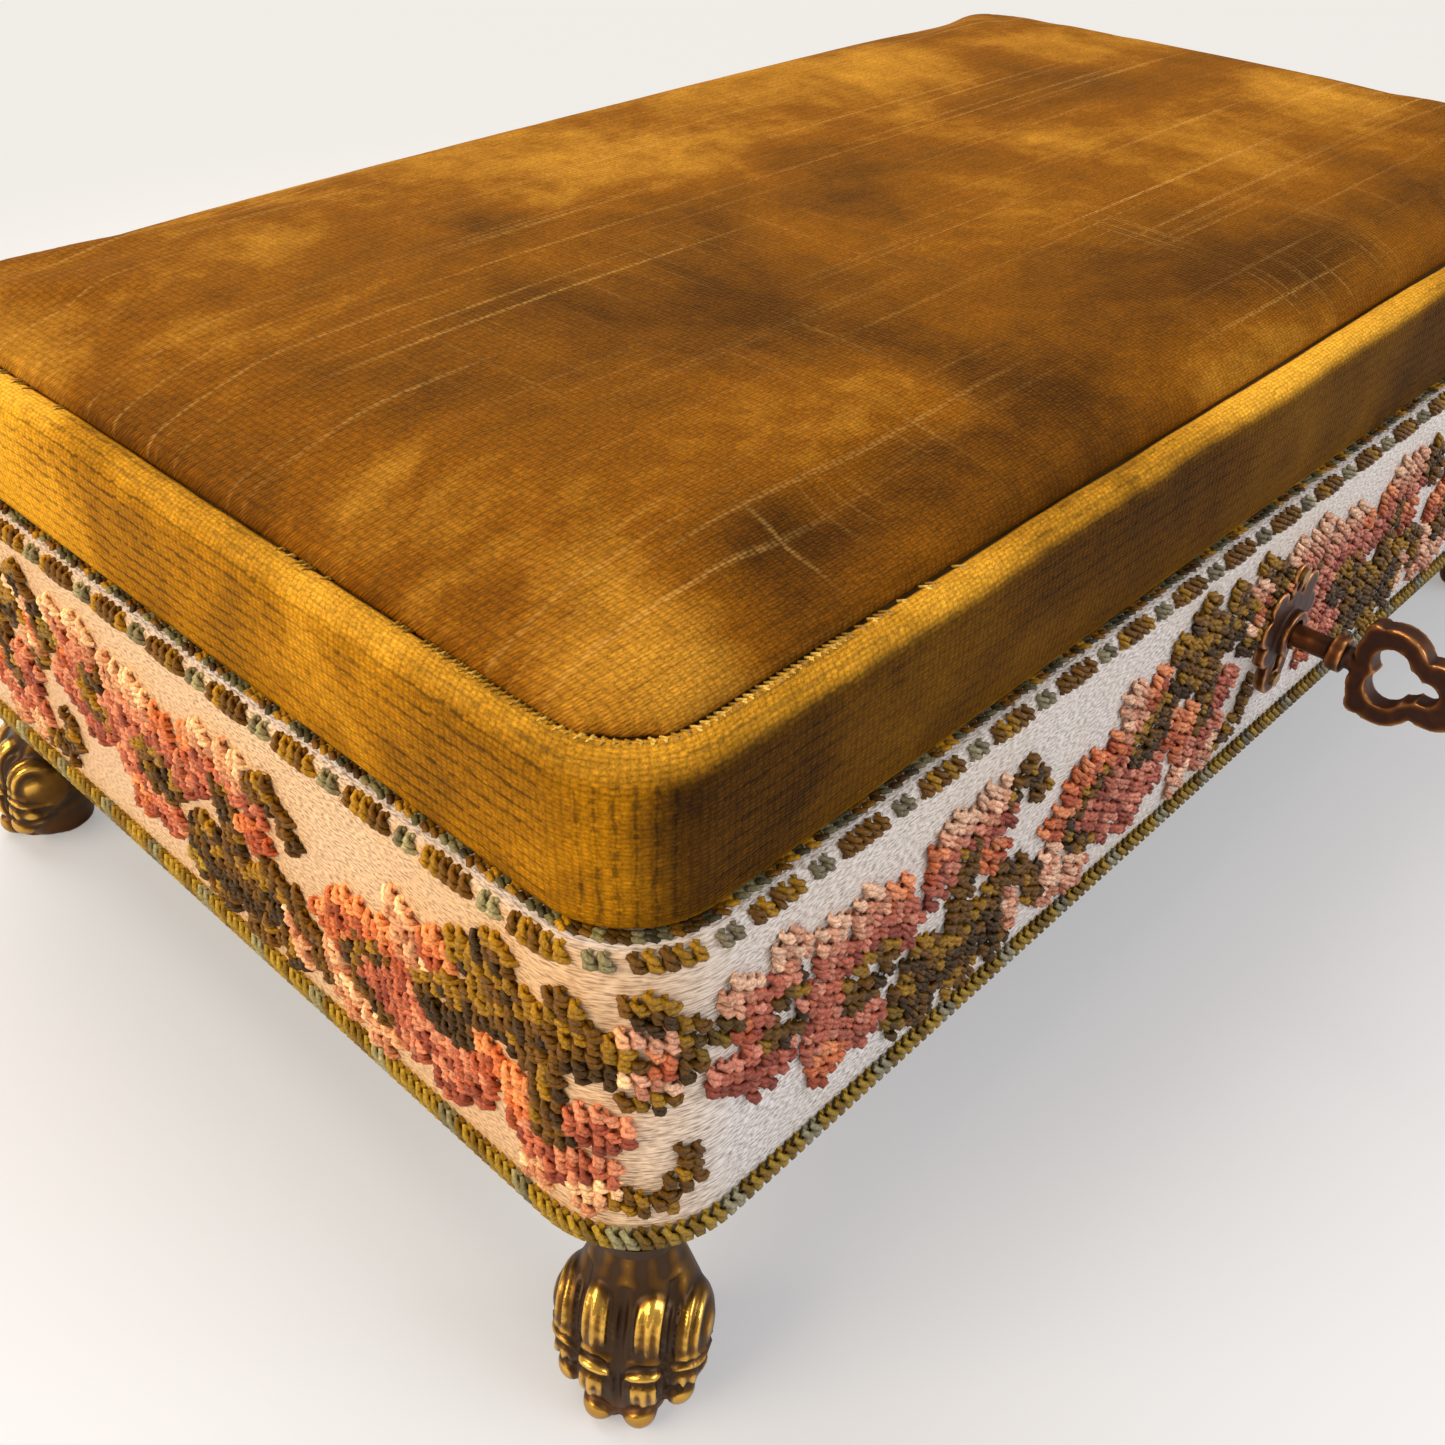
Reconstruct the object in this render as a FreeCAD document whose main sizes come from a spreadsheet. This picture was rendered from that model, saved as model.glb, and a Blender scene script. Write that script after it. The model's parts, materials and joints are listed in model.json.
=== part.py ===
import FreeCAD, Part
import math
import os
import re
import Sketcher

# Jewelry casket on four paw feet: a low wooden box dressed in a stitched floral ribbon, with a padded
# velvet lid on two butt hinges and a small lock whose key stays in the front.
# The frame is +X to the right along the front, +Y to the back and +Z up, with the origin on the floor
# under the middle of the whole piece. Lengths are in millimetres and angles in degrees.

SIZES = [
    ("base_length", 195, "base over the ribbon, left to right"),
    ("base_depth", 115, "base over the ribbon, front to back"),
    ("base_height", 33.5, "ribbon, bottom edge to rim"),
    ("foot_height", 20, "floor to the underside of the base"),
    ("corner_radius", 10, "upright corners of the base"),
    ("wall", 4, "bent wood round the base"),
    ("ribbon", 0.8, "thickness of the stitched ribbon"),
    ("ribbon_edge", 0.7, "rounding where the ribbon folds over"),
    ("bottom_fold", 5, "ribbon turned in under the base"),
    ("floor_board", 3, "board inside the foot of the walls"),
    ("board_fit", 0.1, "room round a board"),
    ("lining", 2, "satin card inside the walls"),
    ("lining_drop", 1, "lining top below the rim"),
    ("pad_room", 0.3, "room round a soft pad"),
    ("floor_pad_height", 5.2, "padded floor, board to crown"),
    ("seam_gap", 0.4, "rim to the closed lid"),
    ("lid_inset", 1.5, "lid stands in from the base all round"),
    ("lid_side", 13.6, "lid side, bottom edge to the top of the border"),
    ("velvet", 1.2, "thickness of the velvet"),
    ("shoulder_radius", 2.6, "rounding of the velvet border"),
    ("crease_inset", 3.4, "edge of the lid to the crease"),
    ("crease_radius", 7, "corner of the crease"),
    ("crown", 5.4, "top pad above the border"),
    ("lid_wall", 3.5, "wood round the lid"),
    ("lid_board", 4, "board over the lid"),
    ("lid_pad_height", 4, "satin pad under the lid board"),
    ("foot_inset", 5.5, "ankle in from both faces of the base"),
    ("foot_width", 14, "widest part of a paw"),
    ("foot_turn", 15, "toes turned from the diagonal to the side"),
    ("corner_bisector", 45, "diagonal of a square corner"),
    ("quarter_turn", 90, "a right angle"),
    ("flange", 1.2, "plate on top of a paw"),
    ("flange_reach", 5, "ankle to the flange screw"),
    ("flange_width", 8.4, "width of the flange"),
    ("foot_screw", 0.9, "radius of a foot screw"),
    ("foot_screw_head", 1.7, "radius of its head"),
    ("screw_fit", 0.05, "radial room round a screw head"),
    ("key_drop", 16.8, "rim of the base to the key axis"),
    ("shank", 1.27, "radius of the key shank"),
    ("key_tip", 0.9, "radius of the tip beyond the bit"),
    ("bit_radius", 5.2, "key axis to the end of the bit"),
    ("bit_thickness", 1.2, "thickness of the bit"),
    ("bit_length", 4.2, "bit along the key"),
    ("key_stand_off", 8, "ribbon to the start of the bow"),
    ("bow_length", 15, "bow along the key"),
    ("bow_height", 12, "bow across the key"),
    ("bow_thickness", 2.4, "bow from side to side"),
    ("key_collar_length", 1.6, "ring between shank and bow"),
    ("key_collar_step", 0.7, "ring stands out from the shank"),
    ("turning_fit", 0.05, "radial room of a turning fit"),
    ("keyhole_room", 0.45, "room round the key in a wall"),
    ("slot_room", 0.2, "room beside and below the bit"),
    ("case_width", 29.4, "lock case, left to right"),
    ("case_depth", 8, "lock case, front to back"),
    ("case_wall", 1.2, "walls of the lock case"),
    ("case_below", 7.2, "key axis to the underside of the case"),
    ("cap", 0.8, "plate that closes the case"),
    ("ear_width", 5, "screw ear beside the case"),
    ("ear_height", 12, "height of a screw ear"),
    ("ear_thickness", 1, "thickness of a screw ear"),
    ("lock_screw", 0.8, "radius of a lock screw"),
    ("lock_screw_head", 1.5, "radius of its head"),
    ("lock_screw_length", 3.4, "lock screw in the wall"),
    ("sleeve_wall", 1.3, "wall of the turning sleeve round the key"),
    ("sleeve_flange", 0.8, "flange of the sleeve inside the case"),
    ("sleeve_step", 0.8, "flange stands out from the sleeve"),
    ("axial_room", 0.15, "end room of a turning or sliding piece"),
    ("bolt_thickness", 2, "bolt, front to back"),
    ("bolt_above", 4.2, "key axis to the underside of the bolt"),
    ("bolt_height", 9.3, "height of the bolt plate"),
    ("tail_room", 2.2, "inside of the case to the tail of the bolt"),
    ("bolt_throw", 5, "travel of the bolt"),
    ("nose_low", 5.5, "underside of the bolt to the nose"),
    ("nose_height", 3.2, "height of the nose"),
    ("talon_width", 6.9, "notch for the bit"),
    ("talon_depth", 1.6, "depth of the notch"),
    ("stump", 1.2, "radius of the stump that guides the bolt"),
    ("stump_shoulder", 1, "shoulder of the stump"),
    ("stump_above", 9.9, "key axis to the stump"),
    ("bolt_room", 0.1, "room of the bolt on its stump"),
    ("bolt_web", 0.7, "metal between the slot for the stump and the nose"),
    ("spring_strip", 0.4, "thickness of the bolt spring"),
    ("spring_length", 9, "length of the bolt spring"),
    ("staple_inset", 4.1, "inside of the case to the middle of the staple"),
    ("staple_wire", 1.2, "thickness of the staple"),
    ("staple_width", 5, "staple, front to back"),
    ("staple_depth", 9.1, "staple below the lid"),
    ("staple_room", 0.5, "staple to the bolt plate when locked"),
    ("strike_length", 18, "strike plate, left to right"),
    ("strike_depth", 5.4, "strike plate, front to back"),
    ("strike_thickness", 1, "strike plate"),
    ("block_depth", 6.8, "wood block behind the strike"),
    ("strike_screw", 0.6, "radius of a strike screw"),
    ("strike_screw_head", 1.1, "radius of its head"),
    ("strike_screw_length", 5, "strike screw in the block"),
    ("escutcheon_height", 17, "escutcheon, top to bottom"),
    ("escutcheon_plate", 1.2, "thickness of the escutcheon"),
    ("escutcheon_boss", 1, "boss round the keyhole"),
    ("escutcheon_pin", 0.45, "radius of an escutcheon pin"),
    ("escutcheon_pin_head", 0.85, "radius of its domed head"),
    ("hinge_inset", 39.5, "end of the base to the middle of a hinge"),
    ("hinge_width", 16, "hinge, left to right"),
    ("hinge_leaf", 1, "thickness of a leaf"),
    ("barrel_radius", 1.5, "hinge barrel"),
    ("hinge_stand_off", 1.7, "ribbon to the hinge axis"),
    ("hinge_pin", 0.7, "radius of a hinge pin"),
    ("knuckle_gap", 0.2, "gap between knuckles"),
    ("leaf_room", 0.3, "leaf to the other leaf's knuckle"),
    ("hinge_screw", 0.6, "radius of a hinge screw"),
    ("hinge_screw_head", 1.1, "radius of its head"),
    ("hinge_screw_length", 5, "hinge screw in the wood"),
    ("hinge_screw_spacing", 10, "hinge screw to hinge screw"),
]
ALIASES = {alias for alias, number, words in SIZES}

# Paw sections from flange to floor: height, ankle forward, half depth and half width, all of them shares
# of the foot's height for the first and of its width for the others.
PAW_SHARES = [
    (0.94, 0.00, 0.22, 0.25),
    (0.80, 0.03, 0.25, 0.31),
    (0.60, 0.10, 0.34, 0.43),
    (0.40, 0.13, 0.39, 0.47),
    (0.18, 0.12, 0.36, 0.42),
    (0.00, 0.11, 0.30, 0.34),
]
# Toes and claws on one side of a paw: height share, forward and sideways shares, then the three radii
# up, forward and sideways. The first is a share of the foot's height, the rest of its width.
TOE_SHARES = {
    "inner_toe": (0.31, 0.37, 0.165, 0.31, 0.24, 0.175),
    "inner_claw": (0.10, 0.54, 0.165, 0.15, 0.11, 0.110),
    "outer_toe": (0.38, 0.18, 0.365, 0.28, 0.27, 0.125),
    "outer_claw": (0.19, 0.40, 0.375, 0.11, 0.09, 0.095),
}
# Top pad sections: height and inset, as shares of the pad's rise and of a quarter of its depth.
TOP_PAD_SHARES = [(0.0, 0.010), (0.30, 0.0), (0.52, 0.045), (0.72, 0.16), (0.88, 0.38), (0.97, 0.66),
                  (1.0, 0.92)]
# Floor and lid pads: height and inset, as shares of the pad's height and of a quarter of its depth.
SMALL_PAD_SHARES = [(0.0, 0.03), (0.35, 0.0), (0.68, 0.05), (0.90, 0.22), (1.0, 0.55)]
# Discs that make up the escutcheon: across, up and radius, as shares of its height from the key axis.
ESCUTCHEON_SHARES = {
    "finial": (0.0, 0.42, 0.085),
    "neck": (0.0, 0.32, 0.075),
    "upper_scroll": (0.20, 0.27, 0.095),
    "lower_scroll": (0.25, 0.09, 0.105),
    "hip": (0.17, -0.10, 0.105),
    "shield": (0.0, 0.03, 0.245),
    "tongue": (0.0, -0.335, 0.145),
}
PIERCING_SHARES = (0.0, 0.335, 0.032)
ESCUTCHEON_PIN_SHARES = [0.42, -0.37]
# Discs of the key's bow: outward share of its length, then upward and radius shares of its height.
BOW_SHARES = {
    "upper_lobe": (0.32, 0.16, 0.32),
    "lower_lobe": (0.32, -0.16, 0.32),
    "outer_lobe": (0.66, 0.0, 0.32),
    "upper_knob": (0.17, 0.36, 0.10),
    "lower_knob": (0.17, -0.36, 0.10),
    "outer_knob": (0.93, 0.0, 0.0875),
}
BOW_HOLE_SHARES = {
    "upper_hole": (0.33, 0.125, 0.165),
    "lower_hole": (0.33, -0.125, 0.165),
    "middle_hole": (0.44, 0.0, 0.17),
    "outer_hole": (0.60, 0.0, 0.11),
}

# Places worked out from the sizes
SHIFT_Y = "(key_stand_off + bow_length - hinge_stand_off - barrel_radius) / 2"
BASE_TOP = "(foot_height + base_height)"
HALF_LENGTH = "(base_length / 2)"
HALF_DEPTH = "(base_depth / 2)"
FRAME_LOW = "(foot_height + ribbon)"
FRAME_TOP = f"({BASE_TOP} - ribbon)"
FRAME_HALF_X = f"({HALF_LENGTH} - ribbon)"
FRAME_HALF_Y = f"({HALF_DEPTH} - ribbon)"
WELL_HALF_X = f"({FRAME_HALF_X} - wall)"
WELL_HALF_Y = f"({FRAME_HALF_Y} - wall)"
WELL_RADIUS = "(corner_radius - ribbon - wall)"
FLOOR_TOP = f"({FRAME_LOW} + floor_board)"
LID_LOW = f"({BASE_TOP} + seam_gap)"
LID_HALF_X = f"({HALF_LENGTH} - lid_inset)"
LID_HALF_Y = f"({HALF_DEPTH} - lid_inset)"
LID_RADIUS = "(corner_radius - lid_inset)"
SHOULDER = f"({LID_LOW} + lid_side)"
BOARD_TOP = f"({SHOULDER} - velvet)"
BOARD_LOW = f"({BOARD_TOP} - lid_board)"
WOOD_HALF_X = f"({LID_HALF_X} - velvet)"
WOOD_HALF_Y = f"({LID_HALF_Y} - velvet)"
RECESS_HALF_X = f"({WOOD_HALF_X} - lid_wall)"
RECESS_HALF_Y = f"({WOOD_HALF_Y} - lid_wall)"
KEY_Z = f"({BASE_TOP} - key_drop)"
CASE_FRONT = f"(-{WELL_HALF_Y})"
CASE_INSIDE = f"({CASE_FRONT} + case_wall)"
CASE_BACK = f"({CASE_FRONT} + case_depth)"
CAP_FRONT = f"({CASE_BACK} - cap)"
CASE_LOW = f"({KEY_Z} - case_below)"
SELVEDGE_LOW = f"({BASE_TOP} - case_wall)"
CAVITY_HALF = "(case_width / 2 - case_wall)"
BOLT_Y = f"(({CASE_INSIDE} + {CAP_FRONT}) / 2)"
BOLT_LOW = f"({KEY_Z} + bolt_above)"
BOLT_TOP = f"({BOLT_LOW} + bolt_height)"
BOLT_TAIL = f"({CAVITY_HALF} - tail_room)"
STAPLE_X = f"({CAVITY_HALF} - staple_inset)"
BOLT_END = f"({STAPLE_X} - staple_wire / 2 - staple_room - bolt_throw)"
NOSE_END = f"({STAPLE_X} - staple_wire / 2 - staple_room - axial_room)"
STUMP_X = f"({BOLT_END} - bolt_web - bolt_room - stump)"
STUMP_Z = f"({KEY_Z} + stump_above)"
SLEEVE_RADIUS = "(shank + turning_fit + sleeve_wall)"
SLEEVE_BACK = f"({CASE_INSIDE} + axial_room + sleeve_flange)"
BIT_FRONT = f"({SLEEVE_BACK} + axial_room)"
BIT_BACK = f"({BIT_FRONT} + bit_length)"
BOW_START = f"(-{HALF_DEPTH} - key_stand_off)"
HINGE_Y = f"({HALF_DEPTH} + hinge_stand_off)"
HINGE_Z = f"({BASE_TOP} + seam_gap / 2)"
LEAF_END = f"({HINGE_Y} - barrel_radius - leaf_room)"
LOWER_SCREW_Y = f"({FRAME_HALF_Y} - wall / 2)"
UPPER_SCREW_Y = f"({WOOD_HALF_Y} - lid_wall / 2)"
FOOT_SCREW_X = f"({HALF_LENGTH} - foot_inset - flange_reach * cos(corner_bisector - foot_turn))"
FOOT_SCREW_Y = f"({HALF_DEPTH} - foot_inset - flange_reach * sin(corner_bisector - foot_turn))"

SAME_PLACE = 1e-4
vec = FreeCAD.Vector
doc = FreeCAD.newDocument("jewelry_casket")
sheet = doc.addObject("Spreadsheet::Sheet", "sizes")
sheet.Label = "driving dimensions"
for row, (alias, number, words) in enumerate(SIZES, start=1):
    sheet.set(f"A{row}", words)
    sheet.set(f"B{row}", str(number))
    sheet.setAlias(f"B{row}", alias)
doc.recompute()

nodes = []


def bound(text):
    """The text as a sheet expression, with the sheet's name before each alias."""
    return re.sub(r"[a-z_]+", lambda m: f"sizes.{m[0]}" if m[0] in ALIASES else m[0], text)


def size(text):
    """The number that an expression gives now."""
    number = sheet.evalExpression(bound(text))
    return float(getattr(number, "Value", number))


def tie(thing, **texts):
    """Binds properties of an object, a double underscore standing for the dot in a path."""
    for path, text in texts.items():
        thing.setExpression(path.replace("__", "."), bound(text))
    return thing


def hold(sketch, kind, element, point, text):
    """Holds a sketch point at an expression along one axis."""
    if text == "0":
        axis = -2 if kind == "DistanceX" else -1
        sketch.addConstraint(Sketcher.Constraint("PointOnObject", element, point, axis))
        return
    row = sketch.addConstraint(Sketcher.Constraint(kind, -1, 1, element, point, size(text)))
    sketch.setExpression(f"Constraints[{row}]", bound(text))


def outline(sketch, corners):
    """Straight sides through corners given as pairs of expressions."""
    first = sketch.GeometryCount
    count = len(corners)
    here = [vec(size(x), size(y), 0) for x, y in corners]
    for n in range(count):
        sketch.addGeometry(Part.LineSegment(here[n], here[(n + 1) % count]), False)
    for n in range(count):
        after = first + (n + 1) % count
        sketch.addConstraint(Sketcher.Constraint("Coincident", first + n, 2, after, 1))
    for n, (x, y) in enumerate(corners):
        hold(sketch, "DistanceX", first + n, 1, x)
        hold(sketch, "DistanceY", first + n, 1, y)


def rectangle(sketch, left, right, low, high):
    """A rectangle between two pairs of expressions."""
    outline(sketch, [(left, low), (right, low), (right, high), (left, high)])


def circle(sketch, x, y, radius):
    """A circle whose centre and radius are expressions."""
    ring = sketch.addGeometry(Part.Circle(vec(size(x), size(y), 0), vec(0, 0, 1), size(radius)), False)
    row = sketch.addConstraint(Sketcher.Constraint("Radius", ring, size(radius)))
    sketch.setExpression(f"Constraints[{row}]", bound(radius))
    hold(sketch, "DistanceX", ring, 3, x)
    hold(sketch, "DistanceY", ring, 3, y)


def round_rectangle(sketch, half_x, half_y, radius):
    """A rectangle about the middle, its corners rounded by tangent arcs."""
    first = sketch.GeometryCount
    bend = size(radius)
    quarter = math.pi / 2
    signs = [(1, 1), (-1, 1), (-1, -1), (1, -1)]
    arcs = []
    for step, (side, depth) in enumerate(signs):
        centre = vec(side * (size(half_x) - bend), depth * (size(half_y) - bend), 0)
        arc = Part.ArcOfCircle(Part.Circle(centre, vec(0, 0, 1), bend), step * quarter, (step + 1) * quarter)
        arcs.append(arc)
        sketch.addGeometry(arc, False)
    for step, arc in enumerate(arcs):
        following = arcs[(step + 1) % 4]
        sketch.addGeometry(Part.LineSegment(arc.EndPoint, following.StartPoint), False)
    for step, (side, depth) in enumerate(signs):
        arc = first + step
        straight = first + 4 + step
        after = first + (step + 1) % 4
        row = sketch.addConstraint(Sketcher.Constraint("Radius", arc, bend))
        sketch.setExpression(f"Constraints[{row}]", bound(radius))
        hold(sketch, "DistanceX", arc, 3, f"{side} * ({half_x} - {radius})")
        hold(sketch, "DistanceY", arc, 3, f"{depth} * ({half_y} - {radius})")
        sketch.addConstraint(Sketcher.Constraint("Tangent", arc, 2, straight, 1))
        sketch.addConstraint(Sketcher.Constraint("Tangent", straight, 2, after, 1))


def body(name):
    """A new body at the casket's place."""
    made = doc.addObject("PartDesign::Body", name)
    made.Label = name
    return tie(made, Placement__Base__y=SHIFT_Y)


def node(made):
    """Lists a finished sub-part for the hand-over."""
    nodes.append(made)
    return made


def drawing(made, name, role, offset, loops):
    """A sketch on one of the body's own planes, at an offset along its normal."""
    sketch = made.newObject("Sketcher::SketchObject", f"{made.Name}_{name}_outline")
    plane = next(part for part in made.Origin.OriginFeatures if part.Role == role)
    sketch.AttachmentSupport = [(plane, "")]
    sketch.MapMode = "FlatFace"
    tie(sketch, AttachmentOffset__Base__z=offset)
    for draw, *texts in loops:
        draw(sketch, *texts)
    return sketch


def layer(made, name, role, low, high, *loops, cut=False):
    """Adds, or cuts away, what the loops enclose between two places along the plane's normal."""
    before = made.Shape.Volume if cut else 0
    offset = f"-({high})" if role == "XZ_Plane" else low
    sketch = drawing(made, name, role, offset, loops)
    kind = "Pocket" if cut else "Pad"
    feature = made.newObject(f"PartDesign::{kind}", f"{made.Name}_{name}")
    feature.Profile = sketch
    feature.Reversed = cut
    tie(feature, Length=f"({high}) - ({low})")
    doc.recompute()
    if cut and not feature.Shape.Volume < before:
        raise ValueError(f"{feature.Name} cuts nothing")
    return feature


def round_edges(made, name, radius, chosen):
    """Rounds the chosen edges of what the body holds so far."""
    base = made.Tip
    edges = [f"Edge{n}" for n, edge in enumerate(base.Shape.Edges, start=1) if chosen(edge)]
    if not edges:
        raise ValueError(f"{made.Name} has no edge for {name}")
    fillet = made.newObject("PartDesign::Fillet", f"{made.Name}_{name}")
    fillet.Base = (base, edges)
    tie(fillet, Radius=radius)
    doc.recompute()
    return fillet


def level(height, outside=None):
    """Chooses the edges that lie at one height, outside a half length if one is given."""
    def chosen(edge):
        box = edge.BoundBox
        flat = max(abs(box.ZMin - size(height)), abs(box.ZMax - size(height))) < SAME_PLACE
        reach = max(abs(box.XMin), abs(box.XMax)) > size(outside) - SAME_PLACE if outside else True
        deep = max(abs(box.YMin), abs(box.YMax)) > size(HALF_DEPTH) - 2 * size("corner_radius")
        return flat and (reach or (outside and deep))
    return chosen


def primitive(kind, name, place, **texts):
    """A plain solid whose sizes and place are expressions."""
    made = doc.addObject(f"Part::{kind}", name)
    x, y, z = place
    tie(made, Placement__Base__x=x, Placement__Base__y=y, Placement__Base__z=z, **texts)
    return made


def joined(name, pieces):
    """Pieces fused into one solid."""
    made = doc.addObject("Part::MultiFuse", name)
    made.Shapes = pieces
    made.Refine = False
    return made


def kept_apart(name, pieces):
    """Like pieces that stay separate solids under one name."""
    made = doc.addObject("Part::Compound", name)
    made.Label = name
    made.Links = pieces
    return node(made)


def screw(name, x, y, z, radius, head, head_height, length, axis):
    """A flat-headed screw whose head starts at z, or at y for one that runs to the front."""
    if axis == "up":
        top = f"{z} + {head_height}"
        shank_place = (x, y, top)
    elif axis == "down":
        shank_place = (x, y, f"{z} - {head_height} - ({length})")
    else:
        shank_place = (x, f"{y} - {head_height} - ({length})", z)
    head_z = f"{z} - {head_height}" if axis == "down" else z
    head_y = f"{y} - {head_height}" if axis == "front" else y
    cap_piece = primitive("Cylinder", f"{name}_head", (x, head_y, head_z), Radius=head, Height=head_height)
    pin = primitive("Cylinder", f"{name}_shank", shank_place, Radius=radius, Height=length)
    if axis == "front":
        for piece in (cap_piece, pin):
            piece.Placement.Rotation = FreeCAD.Rotation(vec(1, 0, 0), -size("quarter_turn"))
    return joined(name, [cap_piece, pin])


def cut_keyhole(made, low, high, radius, half_slot, drop):
    """A round hole on the key axis with a slot below it for the bit."""
    layer(made, "key_bore", "XZ_Plane", low, high, (circle, "0", KEY_Z, radius), cut=True)
    slot = (rectangle, f"-({half_slot})", half_slot, f"{KEY_Z} - ({drop})", KEY_Z)
    layer(made, "bit_slot", "XZ_Plane", low, high, slot, cut=True)


HOLE_RADIUS = "shank + keyhole_room"
HALF_SLOT = "bit_thickness / 2 + slot_room"
SLOT_DROP = "bit_radius + slot_room"
HINGE_XS = {"left": f"(hinge_inset - {HALF_LENGTH})", "right": f"({HALF_LENGTH} - hinge_inset)"}
SCREW_SIDES = {"first": "- hinge_screw_spacing / 2", "second": "+ hinge_screw_spacing / 2"}


def make_base_frame():
    """Bent wood ring: the walls of the base."""
    frame = body("base_frame")
    ring = [(round_rectangle, FRAME_HALF_X, FRAME_HALF_Y, "(corner_radius - ribbon)"),
            (round_rectangle, WELL_HALF_X, WELL_HALF_Y, WELL_RADIUS)]
    layer(frame, "walls", "XY_Plane", FRAME_LOW, FRAME_TOP, *ring)
    cut_keyhole(frame, f"-{HALF_DEPTH}", CASE_FRONT, HOLE_RADIUS, HALF_SLOT, SLOT_DROP)
    for side, x in HINGE_XS.items():
        seat = (rectangle, f"{x} - hinge_width / 2", f"{x} + hinge_width / 2", WELL_HALF_Y, HALF_DEPTH)
        layer(frame, f"{side}_seat", "XY_Plane", f"{BASE_TOP} - hinge_leaf", BASE_TOP, seat, cut=True)
        for turn, offset in SCREW_SIDES.items():
            pilot = (circle, f"{x} {offset}", LOWER_SCREW_Y, "hinge_screw")
            low = f"{BASE_TOP} - hinge_leaf - hinge_screw_length"
            layer(frame, f"{side}_{turn}_pilot", "XY_Plane", low, BASE_TOP, pilot, cut=True)
    for side in (-1, 1):
        word = "right" if side > 0 else "left"
        for turn in (-1, 1):
            x = f"{side} * (case_width / 2 + ear_width / 2)"
            z = f"{KEY_Z} + {turn} * ear_height / 4"
            place = (circle, x, z, "lock_screw")
            name = f"{word}_lock_pilot_{turn + 1}"
            layer(frame, name, "XZ_Plane", f"{CASE_FRONT} - lock_screw_length", CASE_FRONT, place, cut=True)
    return node(frame)


def make_base_floor():
    """Board between the walls, which the feet are screwed to."""
    board = body("base_floor")
    edge = (round_rectangle, f"({WELL_HALF_X} - board_fit)", f"({WELL_HALF_Y} - board_fit)",
            f"({WELL_RADIUS} - board_fit)")
    layer(board, "panel", "XY_Plane", FRAME_LOW, FLOOR_TOP, edge)
    for n, (side, depth) in enumerate([(-1, -1), (1, -1), (-1, 1), (1, 1)]):
        hole = (circle, f"{side} * {FOOT_SCREW_X}", f"{depth} * {FOOT_SCREW_Y}", "foot_screw")
        layer(board, f"pilot_{n}", "XY_Plane", FRAME_LOW, FLOOR_TOP, hole, cut=True)
    return node(board)


def make_underside_cloth():
    """Plain cloth that closes the underside inside the ribbon's turned edge."""
    cloth = body("underside_cloth")
    inset = "(bottom_fold + board_fit)"
    edge = (round_rectangle, f"({HALF_LENGTH} - {inset})", f"({HALF_DEPTH} - {inset})",
            f"(corner_radius - {inset})")
    layer(cloth, "sheet", "XY_Plane", "foot_height", FRAME_LOW, edge)
    for n, (side, depth) in enumerate([(-1, -1), (1, -1), (-1, 1), (1, 1)]):
        hole = (circle, f"{side} * {FOOT_SCREW_X}", f"{depth} * {FOOT_SCREW_Y}", "foot_screw")
        layer(cloth, f"hole_{n}", "XY_Plane", "foot_height", FRAME_LOW, hole, cut=True)
    return node(cloth)


def make_tapestry_band():
    """Stitched ribbon: round the walls, over the rim and in under the bottom edge."""
    band = body("tapestry_band")
    outside = (round_rectangle, HALF_LENGTH, HALF_DEPTH, "corner_radius")
    inside = (round_rectangle, FRAME_HALF_X, FRAME_HALF_Y, "(corner_radius - ribbon)")
    rim = (round_rectangle, WELL_HALF_X, WELL_HALF_Y, WELL_RADIUS)
    turned = (round_rectangle, f"({HALF_LENGTH} - bottom_fold)", f"({HALF_DEPTH} - bottom_fold)",
              "(corner_radius - bottom_fold)")
    layer(band, "sides", "XY_Plane", "foot_height", BASE_TOP, outside, inside)
    layer(band, "rim_fold", "XY_Plane", FRAME_TOP, BASE_TOP, outside, rim)
    layer(band, "under_fold", "XY_Plane", "foot_height", FRAME_LOW, outside, turned)
    outer = level(BASE_TOP, outside=f"{WELL_HALF_X} + wall / 2")
    under = level("foot_height", outside=f"{HALF_LENGTH} - bottom_fold / 2")

    def on_outer_loop(edge):
        box = edge.BoundBox
        reach_x = max(abs(box.XMin), abs(box.XMax)) > size(HALF_LENGTH) - size("ribbon") / 2
        reach_y = max(abs(box.YMin), abs(box.YMax)) > size(HALF_DEPTH) - size("ribbon") / 2
        return (outer(edge) or under(edge)) and (reach_x or reach_y)

    round_edges(band, "folded_edges", "ribbon_edge", on_outer_loop)
    cut_keyhole(band, f"-{HALF_DEPTH}", f"-{FRAME_HALF_Y}", HOLE_RADIUS, HALF_SLOT, SLOT_DROP)
    for side, x in HINGE_XS.items():
        seat = (rectangle, f"{x} - hinge_width / 2", f"{x} + hinge_width / 2", WELL_HALF_Y,
                f"{HALF_DEPTH} + ribbon")
        layer(band, f"{side}_seat", "XY_Plane", f"{BASE_TOP} - hinge_leaf", BASE_TOP, seat, cut=True)
    return node(band)


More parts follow.
